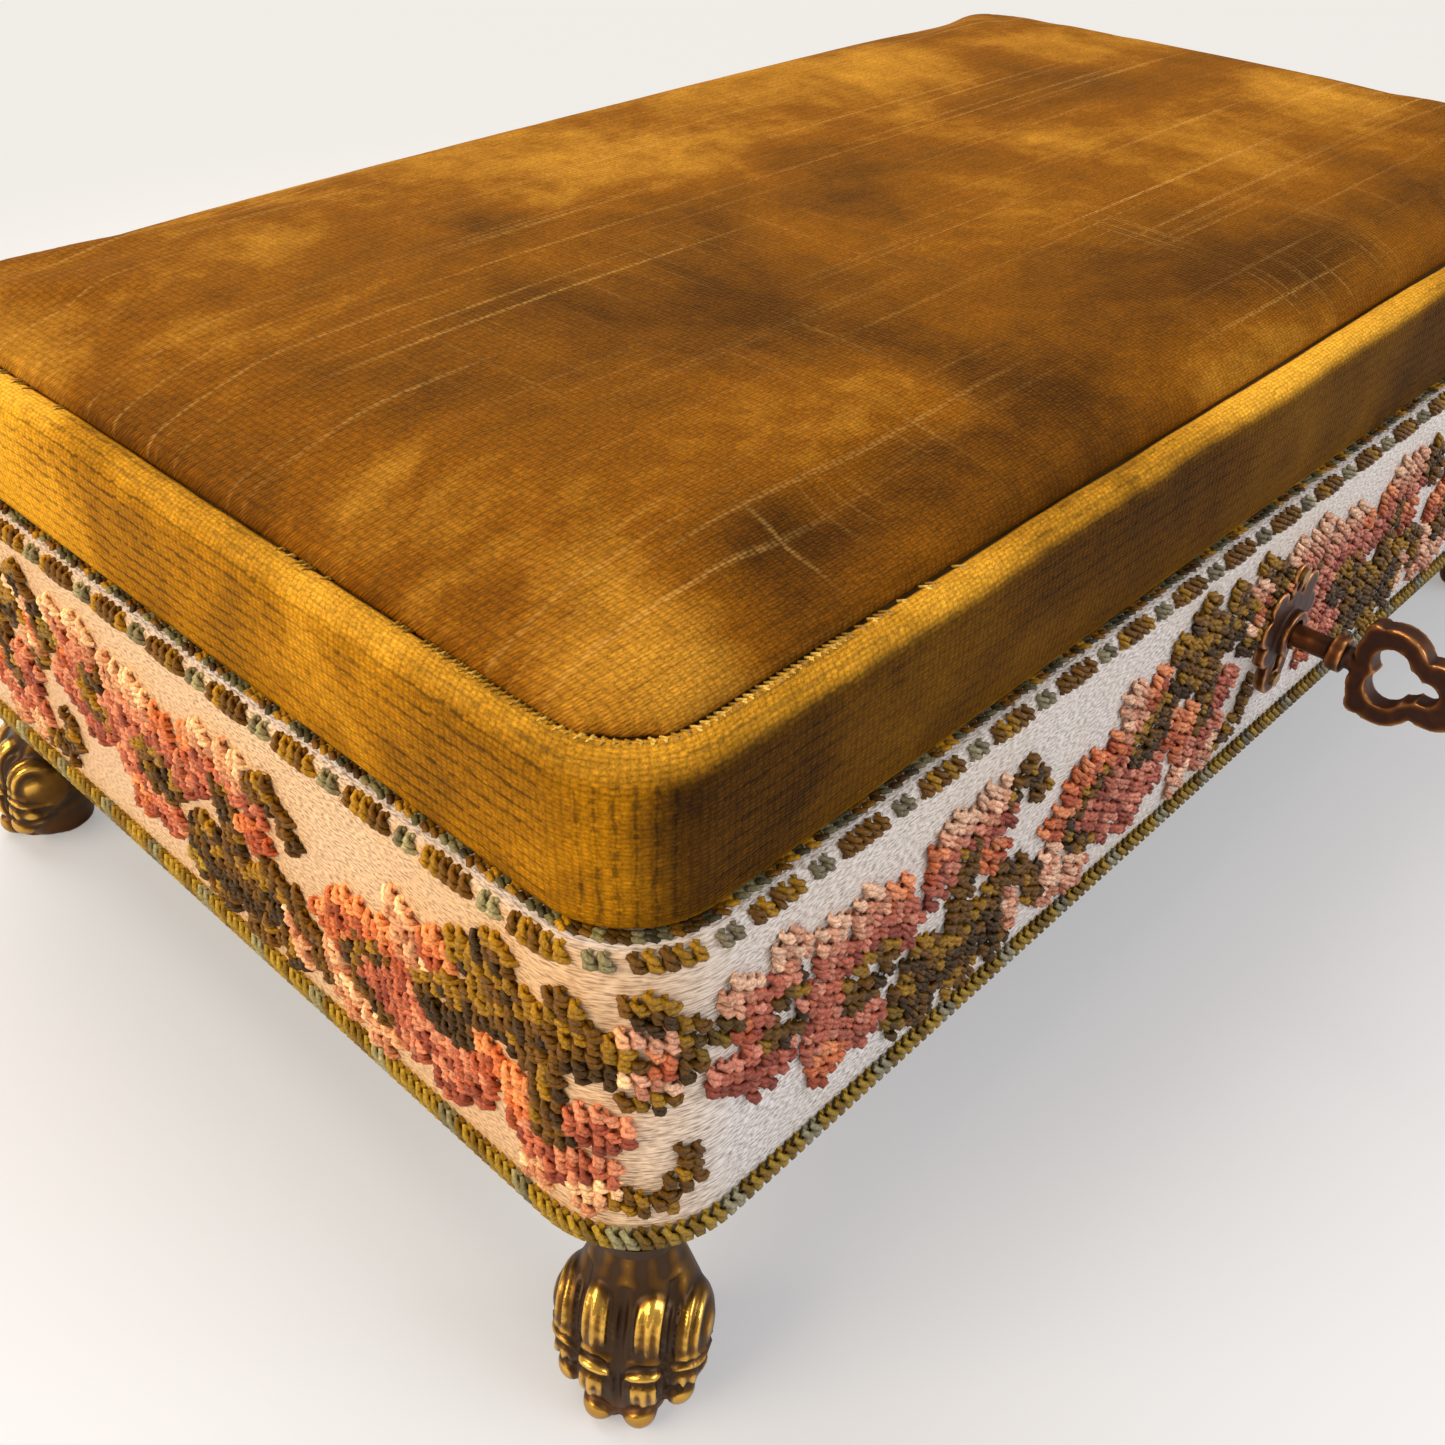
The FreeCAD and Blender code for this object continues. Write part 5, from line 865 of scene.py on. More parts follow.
# %% The two velvets
def make_velvet(name, stops, contrast, gap_share, side_nap_and_light_tints=None, shoulder=None, line_share=0.0):
    """Velvet on the UV map "strip" (metres). The attribute "brushed" adds the listed patches."""
    velvet, tree, shader = new_material(name, Roughness=0.75, Sheen_Weight=0.25, Sheen_Roughness=0.3,
                                        Sheen_Tint=colour("#E0981C"), Specular_IOR_Level=0.06)
    lay = add_node(tree, "ShaderNodeUVMap", uv_map="strip").outputs["UV"]
    place = add_node(tree, "ShaderNodeTexCoord").outputs["Object"]
    chosen = add_node(tree, "ShaderNodeAttribute", attribute_name="brushed",
                      attribute_type="GEOMETRY").outputs["Fac"]
    facing = add_node(tree, "ShaderNodeNewGeometry")
    normal = add_node(tree, "ShaderNodeSeparateXYZ", {"Vector": facing.outputs["Normal"]}).outputs
    patches, crush, hue = lay_nap(tree, place, chosen, stops, contrast)
    tufts = stand_tufts(tree, lay)
    # The speckle paints a highlight on each tuft's tip and shade between the tufts
    tuft_lit_hue = add_node(tree, "ShaderNodeVectorMath", {0: hue, "Scale": tufts["tuft_highlight_shade"]}, operation="SCALE")
    deep = part_pile(tree, tufts, normal, crush, patches, gap_share)
    # Painted shade in the gaps between the tufts, where the pile is open
    gap_shaded = add_node(tree, "ShaderNodeMix", {0: deep, 6: tuft_lit_hue.outputs[0], 7: colour("#2E1C02")},
                      data_type="RGBA")
    cloth = gap_shaded.outputs[2]
    if side_nap_and_light_tints:
        cloth = tint_sides_nap_and_light(tree, cloth, normal, *side_nap_and_light_tints)
    # The shoulder's colour is a painted highlight, the pile's sheen where it turns over
    if shoulder:
        cloth = paint_shoulder_highlight(tree, cloth, place, patches, tufts["tuft_highlight_shade"], shoulder)
    if line_share:
        cloth = wear_lines(tree, cloth, place, chosen, tufts["tip"], line_share)
    tree.links.new(cloth, shader.inputs["Base Color"])
    relief = add_node(tree, "ShaderNodeBump", {"Height": tufts["hairy"], "Strength": 0.8,
                                               "Distance": 0.2 * MM})
    tree.links.new(relief.outputs["Normal"], shader.inputs["Normal"])
    return velvet


LID_LOW, BORDER_TOP = 53.9, 67.5
# The border's side tints are its nap and painted light together: warm and light on the short sides, dark
# olive on the long ones
border_velvet = make_velvet("cotton_velvet_border", [(0.0, "#644202"), (0.5, "#B07C06"), (1.0, "#E8B02C")],
                            contrast=0.15, gap_share=0.75, side_nap_and_light_tints=("#FAEED0", "#74682E"),
                            shoulder="#E8AC38")
top_velvet = make_velvet("cotton_velvet_top", [(0.0, "#462600"), (0.5, "#804C02"), (1.0, "#C68C28")],
                         contrast=0.2, gap_share=0.3, line_share=0.6)
print("velvet nodes:", len(border_velvet.node_tree.nodes), "and", len(top_velvet.node_tree.nodes))

# %% Places brushed by hand, and the border's painted light
# A place on the lid, its reach along x and y, in mm, and how much lighter (or darker) it is made there
TOP_BRUSHED = [(-45, -8, 26, 14, -0.14), (-8, -26, 34, 12, -0.13), (-84, 0, 8, 40, 0.09),
               (-88, -38, 9, 7, 0.2), (-60, -36, 30, 5, -0.16), (20, -36, 60, 6, -0.14),
               (-70, 0, 22, 26, -0.06), (-20, 8, 26, 14, -0.1), (30, 40, 50, 16, 0.12),
               (70, -8, 16, 14, 0.1), (-50, 44, 36, 12, 0.08), (60, 18, 24, 10, -0.08),
               (-30, -20, 14, 9, 0.06), (0, 56, 80, 5, 0.08)]
# Painted light: the border's far left back end, towards the warm window, is made lighter
BORDER_LIT_END = [(-96, 40, 14, 30, 0.13)]


def brush_nap(thing, places):
    """Sets the attribute "brushed", the sum of soft ovals round the chosen places."""
    layer = thing.data.attributes.new("brushed", "FLOAT", "POINT")
    for vertex, item in zip(thing.data.vertices, layer.data):
        x, y, _ = vertex.co / MM
        item.value = sum(amount * math.exp(-((x - a) / reach) ** 2 - ((y - b) / deep) ** 2)
                         for a, b, reach, deep, amount in places)


print(len(TOP_BRUSHED), "brushed places on the top,", len(BORDER_LIT_END), "on the border")

# %% [markdown]
# ## The velvet border
# A strip of velvet is glued over the lid's wooden side. It turns over a small soft shoulder
# and dives into a crease, where the pad begins. It is swept round the lid like the ribbon,
# and a little slow noise keeps the hand-pulled cloth from looking machined.

# %% Sweep the border
LID_BOX = (96.0, -46.1, 65.9)
LID_CORNER = 8.5
SHOULDER_ROUND, CREASE_INSET, CREASE_CORNER, VELVET_THICK = 2.6, 3.4, 7.0, 1.2


def border_corner(inset):
    """The corner radius at an inset: it eases from the lid's own to the crease's."""
    return LID_CORNER + (CREASE_CORNER - LID_CORNER) * min(1.0, max(0.0, inset / CREASE_INSET))


SIDE_ROWS, SHOULDER_ROWS, BULGE = 9, 6, 0.22
border_rows = [(VELVET_THICK, LID_LOW + 0.3), (0.7, LID_LOW), (0.15, LID_LOW + 0.25)]
side_high = BORDER_TOP - SHOULDER_ROUND
for step in range(SIDE_ROWS):
    t = step / (SIDE_ROWS - 1)
    border_rows.append((-BULGE * math.sin(math.pi * t), LID_LOW + 0.9 + (side_high - LID_LOW - 0.9) * t))
for step in range(1, SHOULDER_ROWS + 1):
    angle = math.radians(90 * step / SHOULDER_ROWS)
    border_rows.append((SHOULDER_ROUND * (1 - math.cos(angle)),
                        side_high + SHOULDER_ROUND * math.sin(angle)))
# Down into the crease, and back inside to close the section
border_rows += [(3.0, BORDER_TOP - 0.1), (3.45, BORDER_TOP - 0.5), (3.7, BORDER_TOP - 1.1),
                (3.5, BORDER_TOP - 1.25), (2.6, BORDER_TOP - 1.25), (1.5, side_high - 0.2),
                (VELVET_THICK, LID_LOW + 6.0)]
LID_STEPS = (110, 60, 14)
border = sweep_rings("velvet_border_cover", [(inset, z, border_corner(inset)) for inset, z in border_rows],
                     LID_BOX, LID_STEPS)
# A slow and a quicker wave in the pulled cloth: waves per mm, and how far they reach, in mm
PULLS = ((0.06, 0.28), (0.22, 0.1))
HALF_DEEP = (LID_BOX[2] - LID_BOX[1]) / 2
for vertex in border.data.vertices:
    if vertex.co.z / MM > LID_LOW + 0.6:
        swell = sum(noise.noise(vertex.co / MM * fine) * reach for fine, reach in PULLS)
        out = Vector((vertex.co.x / LID_BOX[0], (vertex.co.y / MM - BOX_MIDDLE) / HALF_DEEP * MM, 0))
        vertex.co += out.normalized() * swell * MM
turn_faces_out(border)
brush_nap(border, BORDER_LIT_END)
hand_over(border, "lid", border_velvet, ["velvet_border"])

# %% [markdown]
# ## The padded top
# Inside the crease the velvet is stretched over wadding, so it rises steeply from the seam and
# then crowns slowly. It starts as a slightly smaller form, is remeshed evenly, and Blender's cloth
# swells it with a little air pressure, which gives the small pulls and the soft rim of real padding.
# The part that sits in the crease is pinned, and no point may move more than a set distance.

# %% Stacked rings, closed at both ends
PAD_STEPS = (60, 34, 8)


def ring_form(name, box, sections):
    """A closed pad form of rounded rectangles (inset, height, corner radius)."""
    points, count = stack_rings(box, sections, PAD_STEPS)
    faces = []
    for r in range(len(sections) - 1):
        for k in range(count):
            low_here, low_next = r * count + k, r * count + (k + 1) % count
            faces.append((low_here, low_next, low_next + count, low_here + count))
    faces.append(tuple(range(count)))
    faces.append(tuple(range((len(sections) - 1) * count, len(sections) * count)))
    form = new_mesh_object(name, points, faces)
    turn_faces_out(form)
    return form


print("a pad's ring has", stack_rings((10, -5, 5), [(0.0, 0.0, 1.0)], PAD_STEPS)[1], "points")

# %% The cloth helper
CLOTH_FRAMES = 20


def remesh_even(thing, voxel, smoothing=0):
    """Gives a form even faces of one size, in mm, and smooths them if asked."""
    even = thing.modifiers.new("even", "REMESH")
    even.mode, even.voxel_size = "VOXEL", voxel * MM
    if smoothing:
        soft = thing.modifiers.new("soft", "SMOOTH")
        soft.iterations = smoothing
    keep_evaluated(thing)


def subdivide_once(thing):
    """One smooth subdivision, kept as a plain mesh."""
    smooth = thing.modifiers.new("smooth", "SUBSURF")
    smooth.levels = smooth.render_levels = 1
    keep_evaluated(thing)


def swell_cloth(thing, voxel, pressure, cap, is_held):
    """Remeshes a closed form, lets cloth swell it, and caps how far each point moves, in mm."""
    remesh_even(thing, voxel)
    held = thing.vertex_groups.new(name="held")
    held.add([v.index for v in thing.data.vertices if is_held(v.co / MM)], 1.0, "REPLACE")
    rest = [v.co.copy() for v in thing.data.vertices]
    cloth = thing.modifiers.new("cloth", "CLOTH")
    cloth.settings.quality = 6
    cloth.settings.mass = 0.02
    cloth.settings.tension_stiffness = cloth.settings.compression_stiffness = 6
    cloth.settings.bending_stiffness = 0.2
    cloth.settings.use_pressure = True
    cloth.settings.uniform_pressure_force = pressure
    cloth.settings.effector_weights.gravity = 0
    cloth.settings.vertex_group_mass = "held"
    cloth.point_cache.frame_start, cloth.point_cache.frame_end = 1, CLOTH_FRAMES
    for step in range(1, CLOTH_FRAMES + 1):
        bpy.context.scene.frame_set(step)
    swollen = thing.evaluated_get(bpy.context.evaluated_depsgraph_get())
    moved = 0.0
    for vertex, start, end in zip(thing.data.vertices, rest, swollen.data.vertices):
        step = end.co - start
        moved = max(moved, step.length)
        vertex.co = start + step * min(1.0, cap * MM / max(step.length, 1e-9))
    thing.modifiers.remove(cloth)
    thing.vertex_groups.clear()
    bpy.context.scene.frame_set(1)
    return moved / MM


def lay_flat_map(thing):
    """A UV map "strip" of places seen from above, in metres. The height keeps the steep rim from smearing."""
    layer = thing.data.uv_layers.new(name="strip")
    for loop in thing.data.loops:
        spot = thing.data.vertices[loop.vertex_index].co
        layer.data[loop.index].uv = (spot.x, spot.y + abs(spot.z))


print("cloth runs for", CLOTH_FRAMES, "frames")

# %% Make the top pad
PAD_LOW = BORDER_TOP - 1.2
PAD_EDGE = 2.85
# Inset from the pad's edge and height above its foot, in mm
PAD_SECTION = [(0.4, 0.0), (0.0, 0.5), (0.0, 1.7), (0.5, 2.7), (1.7, 3.7), (3.8, 4.5), (7.8, 5.2),
               (15.0, 5.7), (26.0, 6.1), (40.0, 6.3)]
pad_rows = [(PAD_EDGE + inset, PAD_LOW + height, CREASE_CORNER + 0.4 * inset)
            for inset, height in PAD_SECTION]
top_pad = ring_form("velvet_top_pad", LID_BOX, pad_rows)
moved = swell_cloth(top_pad, voxel=2.1, pressure=4.0, cap=0.9, is_held=lambda p: p.z < PAD_LOW + 1.2)
subdivide_once(top_pad)
lay_flat_map(top_pad)
brush_nap(top_pad, TOP_BRUSHED)
hand_over(top_pad, "lid", top_velvet, ["velvet_top", "top_wadding"])
highest = max(v.co.z for v in top_pad.data.vertices) / MM
print("the free cloth moved", round(moved, 2), "mm; the pad's crown is at", round(highest, 2), "mm")

# %% [markdown]
# ## The sewing thread in the crease
# The pad's velvet is sewn down along the crease with a dull gold thread. The pile hides it nearly
# everywhere, and only near the corners, where the pile is pushed apart, its stitches show. They
# use the same two-ply tree with finer sizes, and chance decides which of them shows, with better
# odds close to a corner.

# %% Sew the crease
CREASE_THREADS = ("#B0903E", "#967428", "#7A5A18")
SHOWN_REACH, CREASE_STEPS = 20.0, (250, 140, 14)


def lay_crease(inset, height):
    """The places of the crease's stitches that show near the lid's four corners."""
    dice = random.Random(3)
    half_x, front, back = LID_BOX[0] - inset, LID_BOX[1] + inset, LID_BOX[2] - inset
    ring = ring_points(half_x, front, back, CREASE_CORNER, *CREASE_STEPS)
    laid = []
    for (x, y), (nx, ny) in zip(ring, ring[1:] + ring[:1]):
        heading = math.atan2(ny - y, nx - x)
        reach = min(math.hypot(abs(x) - half_x + 6, y - side) for side in (front + 6, back - 6))
        if dice.random() > 1.1 * math.exp(-(reach / SHOWN_REACH) ** 2):
            continue
        tone = colour(dice.choice(CREASE_THREADS))
        turn = Euler((math.radians(72), 0.0, heading + dice.uniform(-0.12, 0.12)))
        laid.append(("lid", Vector((x, y, height)) * MM, turn, (0.42, 0.42, dice.uniform(0.8, 1.15)), tone))
    return laid


crease_thread = point_cloud("crease_thread", lay_crease(inset=3.0, height=BORDER_TOP - 0.12))
grow(crease_thread, stitch_tree, {"Stitch Length": 0.9 * MM, "Turns": 0.5, "Arch": 0.2 * MM})
hand_over(crease_thread, "lid", None)

# %% [markdown]
# ## Satin lining, floor pad and lid pad
# Inside, the casket is lined with old-gold satin. The wall lining is gathered by hand, so it has
# soft upright pleats. The floor and the lid's inside have thin wadded pads of the same satin,
# and a plain dark cloth closes the underside. The satin's floats show as fine lines and give its glow.

# %% The satin and the plain cloth
SATIN_PITCH = 0.16 * MM


def make_weave(name, low, high, pitch, stretch, soft, gloss):
    """A plain or satin weave by position: stretched noise for the yarns, two colours and a fine bump."""
    cloth, tree, shader = new_material(name, Roughness=gloss, Sheen_Weight=soft, Sheen_Roughness=0.4,
                                       Specular_IOR_Level=0.4)
    place = add_node(tree, "ShaderNodeTexCoord")
    long_way = add_node(tree, "ShaderNodeMapping", {"Vector": place.outputs["Object"],
                                                    "Scale": (1 / (pitch * stretch), 1 / pitch, 1 / pitch)})
    yarns = add_node(tree, "ShaderNodeTexNoise", {"Vector": long_way.outputs[0], "Scale": 0.5, "Detail": 1.0})
    patches = add_node(tree, "ShaderNodeTexNoise",
                       {"Vector": place.outputs["Object"], "Scale": 25.0, "Detail": 3.0})
    mixed = add_node(tree, "ShaderNodeMath", {0: yarns.outputs["Fac"], 1: 0.4, 2: patches.outputs["Fac"]},
                     operation="MULTIPLY_ADD")
    level = add_node(tree, "ShaderNodeMapRange", {"Value": mixed.outputs[0], "From Min": 0.45,
                                                  "From Max": 0.95})
    hue = add_node(tree, "ShaderNodeValToRGB", {"Fac": level.outputs["Result"]},
                   stops=[(0.0, low), (1.0, high)])
    tree.links.new(hue.outputs["Color"], shader.inputs["Base Color"])
    relief = add_node(tree, "ShaderNodeBump", {"Height": yarns.outputs["Fac"], "Strength": 0.25,
                                               "Distance": 0.05 * MM})
    tree.links.new(relief.outputs["Normal"], shader.inputs["Normal"])
    return cloth


lining_satin = make_weave("old_gold_satin", "#B58E50", "#D2AC6A", SATIN_PITCH, 9.0, 0.2, 0.3)
under_cloth = make_weave("brown_cotton_cloth", "#2E2216", "#4A3824", 0.45 * MM, 1.5, 0.1, 0.9)
print("satin yarns every", SATIN_PITCH / MM, "mm")

# %% The gathered wall lining, open in front for the lock
low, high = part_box("wall_lining")
WELL_BOX = (high.x / MM, low.y / MM, high.y / MM)
WELL_LOW, WELL_HIGH = low.z / MM, high.z / MM
LOCK_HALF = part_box("lock_case")[1].x / MM + 0.5
PLEAT, PLEAT_DEEP, LINING_THICK = 5.6, 1.35, 1.0
# Rows up the wall, closer at the glued edges
LINING_ROWS = (0.0, 0.06, 0.2, 0.4, 0.6, 0.8, 0.94, 1.0)


def wall_path(inset, step):
    """Points (x, y, distance) round the inside of the well, from the lock's right side to its left."""
    half_x, front, back = WELL_BOX[0] - inset, WELL_BOX[1] + inset, WELL_BOX[2] - inset
    stops = [(LOCK_HALF, front), (half_x, front), (half_x, back), (-half_x, back), (-half_x, front),
             (-LOCK_HALF, front)]
    path, run = [], 0.0
    for (a, b), (c, d) in zip(stops, stops[1:]):
        length = math.hypot(c - a, d - b)
        parts = round(length / step)
        for k in range(parts):
            path.append((a + (c - a) * k / parts, b + (d - b) * k / parts, run + length * k / parts))
        run += length
    path.append((stops[-1][0], stops[-1][1], run))
    return path


def into_well(x, y):
    """The direction into the well from a place on its wall, which in a corner points to the middle."""
    at_front, at_back = y < WELL_BOX[1] + 2, y > WELL_BOX[2] - 2
    if abs(abs(x) - WELL_BOX[0]) < 2 and (at_front or at_back):
        return (Vector((0.0, (WELL_BOX[1] + WELL_BOX[2]) / 2)) - Vector((x, y))).normalized()
    if at_front or at_back:
        return Vector((0.0, 1.0 if at_front else -1.0))
    return Vector((-math.copysign(1, x), 0.0))


print("the wall's path has", len(wall_path(LINING_THICK, 0.9)), "points")

# %% Pleats along the path
def make_wall_lining():
    """The pleated lining as a closed mesh, and the length of wall it covers, in mm."""
    dice = random.Random(11)
    path = wall_path(LINING_THICK, 0.9)
    shift = [dice.uniform(0, 6.28) for _ in range(3)]
    points, faces = [], []
    for layer in (0, 1):
        for t in LINING_ROWS:
            z = WELL_LOW + (WELL_HIGH - WELL_LOW) * t
            for x, y, run in path:
                wave = math.sin(run / PLEAT * 2 * math.pi + 1.9 * math.sin(run * 0.13 + shift[0]) + 0.5 * t)
                deep = 0.75 + 0.45 * math.sin(run * 0.31 + shift[1]) * math.sin(run * 0.17 + shift[2])
                fold = deep * (0.7 + 0.4 * math.sin(math.pi * t)) * (0.5 + 0.5 * wave) ** 1.6 * PLEAT_DEEP
                inward = into_well(x, y)
                # The first layer is the glued back of the cloth, the second its pleated face
                reach = fold if layer else -0.7
                points.append(Vector((x + inward[0] * reach, y + inward[1] * reach, z)) * MM)
    count, tall = len(path), len(LINING_ROWS)
    for layer in (0, 1):
        for r in range(tall - 1):
            for k in range(count - 1):
                a = layer * tall * count + r * count + k
                faces.append((a, a + 1, a + count + 1, a + count))
    for k in range(count - 1):
        for r in (0, tall - 1):
            a, b = r * count + k, tall * count + r * count + k
            faces.append((a, a + 1, b + 1, b))
    for r in range(tall - 1):
        for k in (0, count - 1):
            a, b = r * count + k, tall * count + r * count + k
            faces.append((a, a + count, b + count, b))
    lining = new_mesh_object("gathered_wall_lining", points, faces)
    turn_faces_out(lining)
    return lining, path[-1][2]


wall_lining, lining_long = make_wall_lining()
hand_over(wall_lining, "casket_base", lining_satin, ["wall_lining"])
print("lining runs", round(lining_long), "mm with a pleat every", PLEAT, "mm")

# %% The two satin pads
# Inset, share of the pad's height and corner radius
SMALL_PAD_SECTION = [(1.2, 0.0, 3.0), (0.35, 0.12, 3.5), (0.4, 0.42, 4.0), (1.3, 0.72, 4.5), (3.6, 0.88, 5.0),
                     (9.0, 0.95, 6.0), (18.0, 0.985, 8.0), (34.0, 1.0, 10.0)]


def pad_in_box(name, node, drop, voxel, cap, pressure, upside_down=False, notch=None):
    """A thin wadded pad that fills a CAD node's box. It is pinned round its foot and swollen by cloth."""
    low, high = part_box(node)
    box = (high.x / MM, low.y / MM, high.y / MM)
    bottom, top = low.z / MM, high.z / MM
    rise = top - bottom
    rows = []
    for inset, share, radius in SMALL_PAD_SECTION:
        climb = (rise - drop) * share
        rows.append((inset, top - drop - climb if upside_down else bottom + climb, radius))
    pad = ring_form(name, box, rows)
    if notch:
        for vertex in pad.data.vertices:
            if notch[0] * MM < vertex.co.x < notch[1] * MM and vertex.co.y < notch[2] * MM:
                vertex.co.y = notch[2] * MM
    foot = (top - 1.0) if upside_down else (bottom + 1.0)
    moved = swell_cloth(pad, voxel, pressure, cap, lambda p: p.z > foot if upside_down else p.z < foot)
    subdivide_once(pad)
    for vertex in pad.data.vertices:
        vertex.co.z = min(max(vertex.co.z, bottom * MM), top * MM)
    print(name, "moved", round(moved, 2), "mm before the cap")
    return pad


floor_pad = pad_in_box("satin_floor_pad", "floor_pad", drop=0.5, voxel=2.4, cap=0.9, pressure=3.0)
hand_over(floor_pad, "casket_base", lining_satin, ["floor_pad"])
block_low, block_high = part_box("strike_block")
lid_pad = pad_in_box("satin_lid_pad", "lid_lining", drop=0.4, voxel=2.2, cap=0.8, pressure=3.0,
                     upside_down=True,
                     notch=(block_low.x / MM - 1.0, block_high.x / MM + 1.0, block_high.y / MM + 0.6))
hand_over(lid_pad, "lid", lining_satin, ["lid_lining"])

# %% The cloth under the base
low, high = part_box("underside_cloth")
cloth_box = (high.x / MM, low.y / MM, high.y / MM)
thin = (high.z - low.z) / MM
CLOTH_INSETS = (50.0, 35.0, 20.0, 10.0, 4.0, 0.3)
cloth_rows = [(inset, low.z / MM + 0.1 * thin, max(2.0, 5 - inset)) for inset in CLOTH_INSETS]
cloth_rows += [(inset, high.z / MM - 0.1 * thin, max(2.0, 5 - inset)) for inset in reversed(CLOTH_INSETS)]
base_cloth = ring_form("underside_cotton", cloth_box, cloth_rows)
for vertex in base_cloth.data.vertices:
    vertex.co.z += noise.noise(Vector((vertex.co.x, vertex.co.y, 0.0)) / MM * 0.07) * 0.07 * MM
hand_over(base_cloth, "casket_base", under_cloth, ["underside_cloth"])

# %% [markdown]
# ## Cast brass: paws, key plate and key
# The paws, the key plate and the key are cast in brass and then darkened, so the recesses are brown
# and the high places are worn bright. A cast piece has no sharp edges, so each is remeshed finely
# and smoothed. How far a point stands above its surroundings is kept as the "worn" attribute,
# and the material turns that into colour and gloss, which is what the eye reads as old brass.

# %% The metal finishes
def make_metal(name, dark, middle, bright, rough_dark, rough_bright, from_worn=True, grain=140.0, foot=None):
    """Metal coloured by wear or by cloudy age. The recesses of worn metal are dusty, so they are less
    metallic, and the colour "foot" tints what lies close to the floor."""
    metal, tree, shader = new_material(name, Metallic=1.0, Roughness=rough_dark)
    place = add_node(tree, "ShaderNodeTexCoord")
    cloud = add_node(tree, "ShaderNodeTexNoise", {"Vector": place.outputs["Object"], "Scale": grain,
                                                  "Detail": 4.0, "Roughness": 0.6})
    level = add_node(tree, "ShaderNodeMapRange", {"Value": cloud.outputs["Fac"], "From Min": 0.3,
                                                  "From Max": 0.7, "To Min": -0.16, "To Max": 0.16})
    if from_worn:
        worn = add_node(tree, "ShaderNodeAttribute", attribute_name="worn", attribute_type="GEOMETRY")
        start = worn.outputs["Fac"]
    else:
        start = 0.5
    share = add_node(tree, "ShaderNodeMath", {0: level.outputs["Result"], 1: start},
                     operation="ADD").outputs[0]
    hue = add_node(tree, "ShaderNodeValToRGB", {"Fac": share},
                   stops=[(0.15, dark), (0.62, middle), (1.0, bright)])
    shown = hue.outputs["Color"]
    if from_worn:
        clean = add_node(tree, "ShaderNodeMapRange",
                         {"Value": share, "From Min": 0.05, "From Max": 0.4, "To Min": 0.7, "To Max": 1.0})
        tree.links.new(clean.outputs["Result"], shader.inputs["Metallic"])
    if foot:
        height = add_node(tree, "ShaderNodeSeparateXYZ", {"Vector": place.outputs["Object"]})
        low = add_node(tree, "ShaderNodeMapRange", {"Value": height.outputs["Z"], "From Min": 4.5 * MM,
                                                    "From Max": 1.0 * MM, "To Max": 0.7})
        tinted = add_node(tree, "ShaderNodeMix", {0: low.outputs["Result"], 6: shown, 7: colour(foot)},
                          data_type="RGBA")
        shown = tinted.outputs[2]
    gloss = add_node(tree, "ShaderNodeMapRange", {"Value": share, "From Min": 0.3, "To Min": rough_dark,
                                                  "To Max": rough_bright})
    tree.links.new(shown, shader.inputs["Base Color"])
    tree.links.new(gloss.outputs["Result"], shader.inputs["Roughness"])
    relief = add_node(tree, "ShaderNodeBump", {"Height": cloud.outputs["Fac"], "Strength": 0.15,
                                               "Distance": 0.1 * MM})
    tree.links.new(relief.outputs["Normal"], shader.inputs["Normal"])
    return metal


paw_brass = make_metal("darkened_cast_brass", "#3E2A16", "#785424", "#F0BC54", 0.42, 0.2, grain=260.0,
                       foot="#7A4C22")
key_brass = make_metal("dark_copper_brass", "#40261A", "#74482A", "#BC8450", 0.5, 0.28, grain=260.0)
plain_brass = make_metal("aged_sheet_brass", "#8A6A34", "#A9854A", "#C9A45C", 0.4, 0.28, from_worn=False)
plain_steel = make_metal("plain_steel", "#75736F", "#8E8C87", "#A5A29C", 0.38, 0.28, from_worn=False)
print("metals:", [metal.name for metal in (paw_brass, key_brass, plain_brass, plain_steel)])

# %% Which places are worn
WORN_RANGE = (0.12, 0.93)


def mark_worn(thing, spread, passes):
    """Sets the attribute "worn" from 0 in the recesses to 1 on the ridges, by how far a point stands out."""
    mesh = thing.data
    count = len(mesh.vertices)
    around = [[] for _ in range(count)]
    for edge in mesh.edges:
        a, b = edge.vertices
        around[a].append(b)
        around[b].append(a)
    smooth = [v.co.copy() for v in mesh.vertices]
    for _ in range(spread):
        smooth = [sum((smooth[n] for n in near), here * 1.0) / (len(near) + 1)
                  for here, near in zip(smooth, around)]
    stands = [(v.co - s).dot(v.normal) for v, s in zip(mesh.vertices, smooth)]
    for _ in range(passes):
        stands = [(sum(stands[n] for n in near) + own) / (len(near) + 1) for own, near in zip(stands, around)]
    order = sorted(stands)
    low, high = (order[int(count * share)] for share in WORN_RANGE)
    layer = mesh.attributes.new("worn", "FLOAT", "POINT")
    layer.data.foreach_set("value", [min(1.0, max(0.0, (s - low) / (high - low))) for s in stands])


print("worn from rank", WORN_RANGE[0], "to rank", WORN_RANGE[1], "of all points")

# %% The paw's form
PAW_HIGH, ANKLE_SIDES = 20.0, 32
PAW_AT, PAW_HEADING = (-92.0, -42.1), 210.0
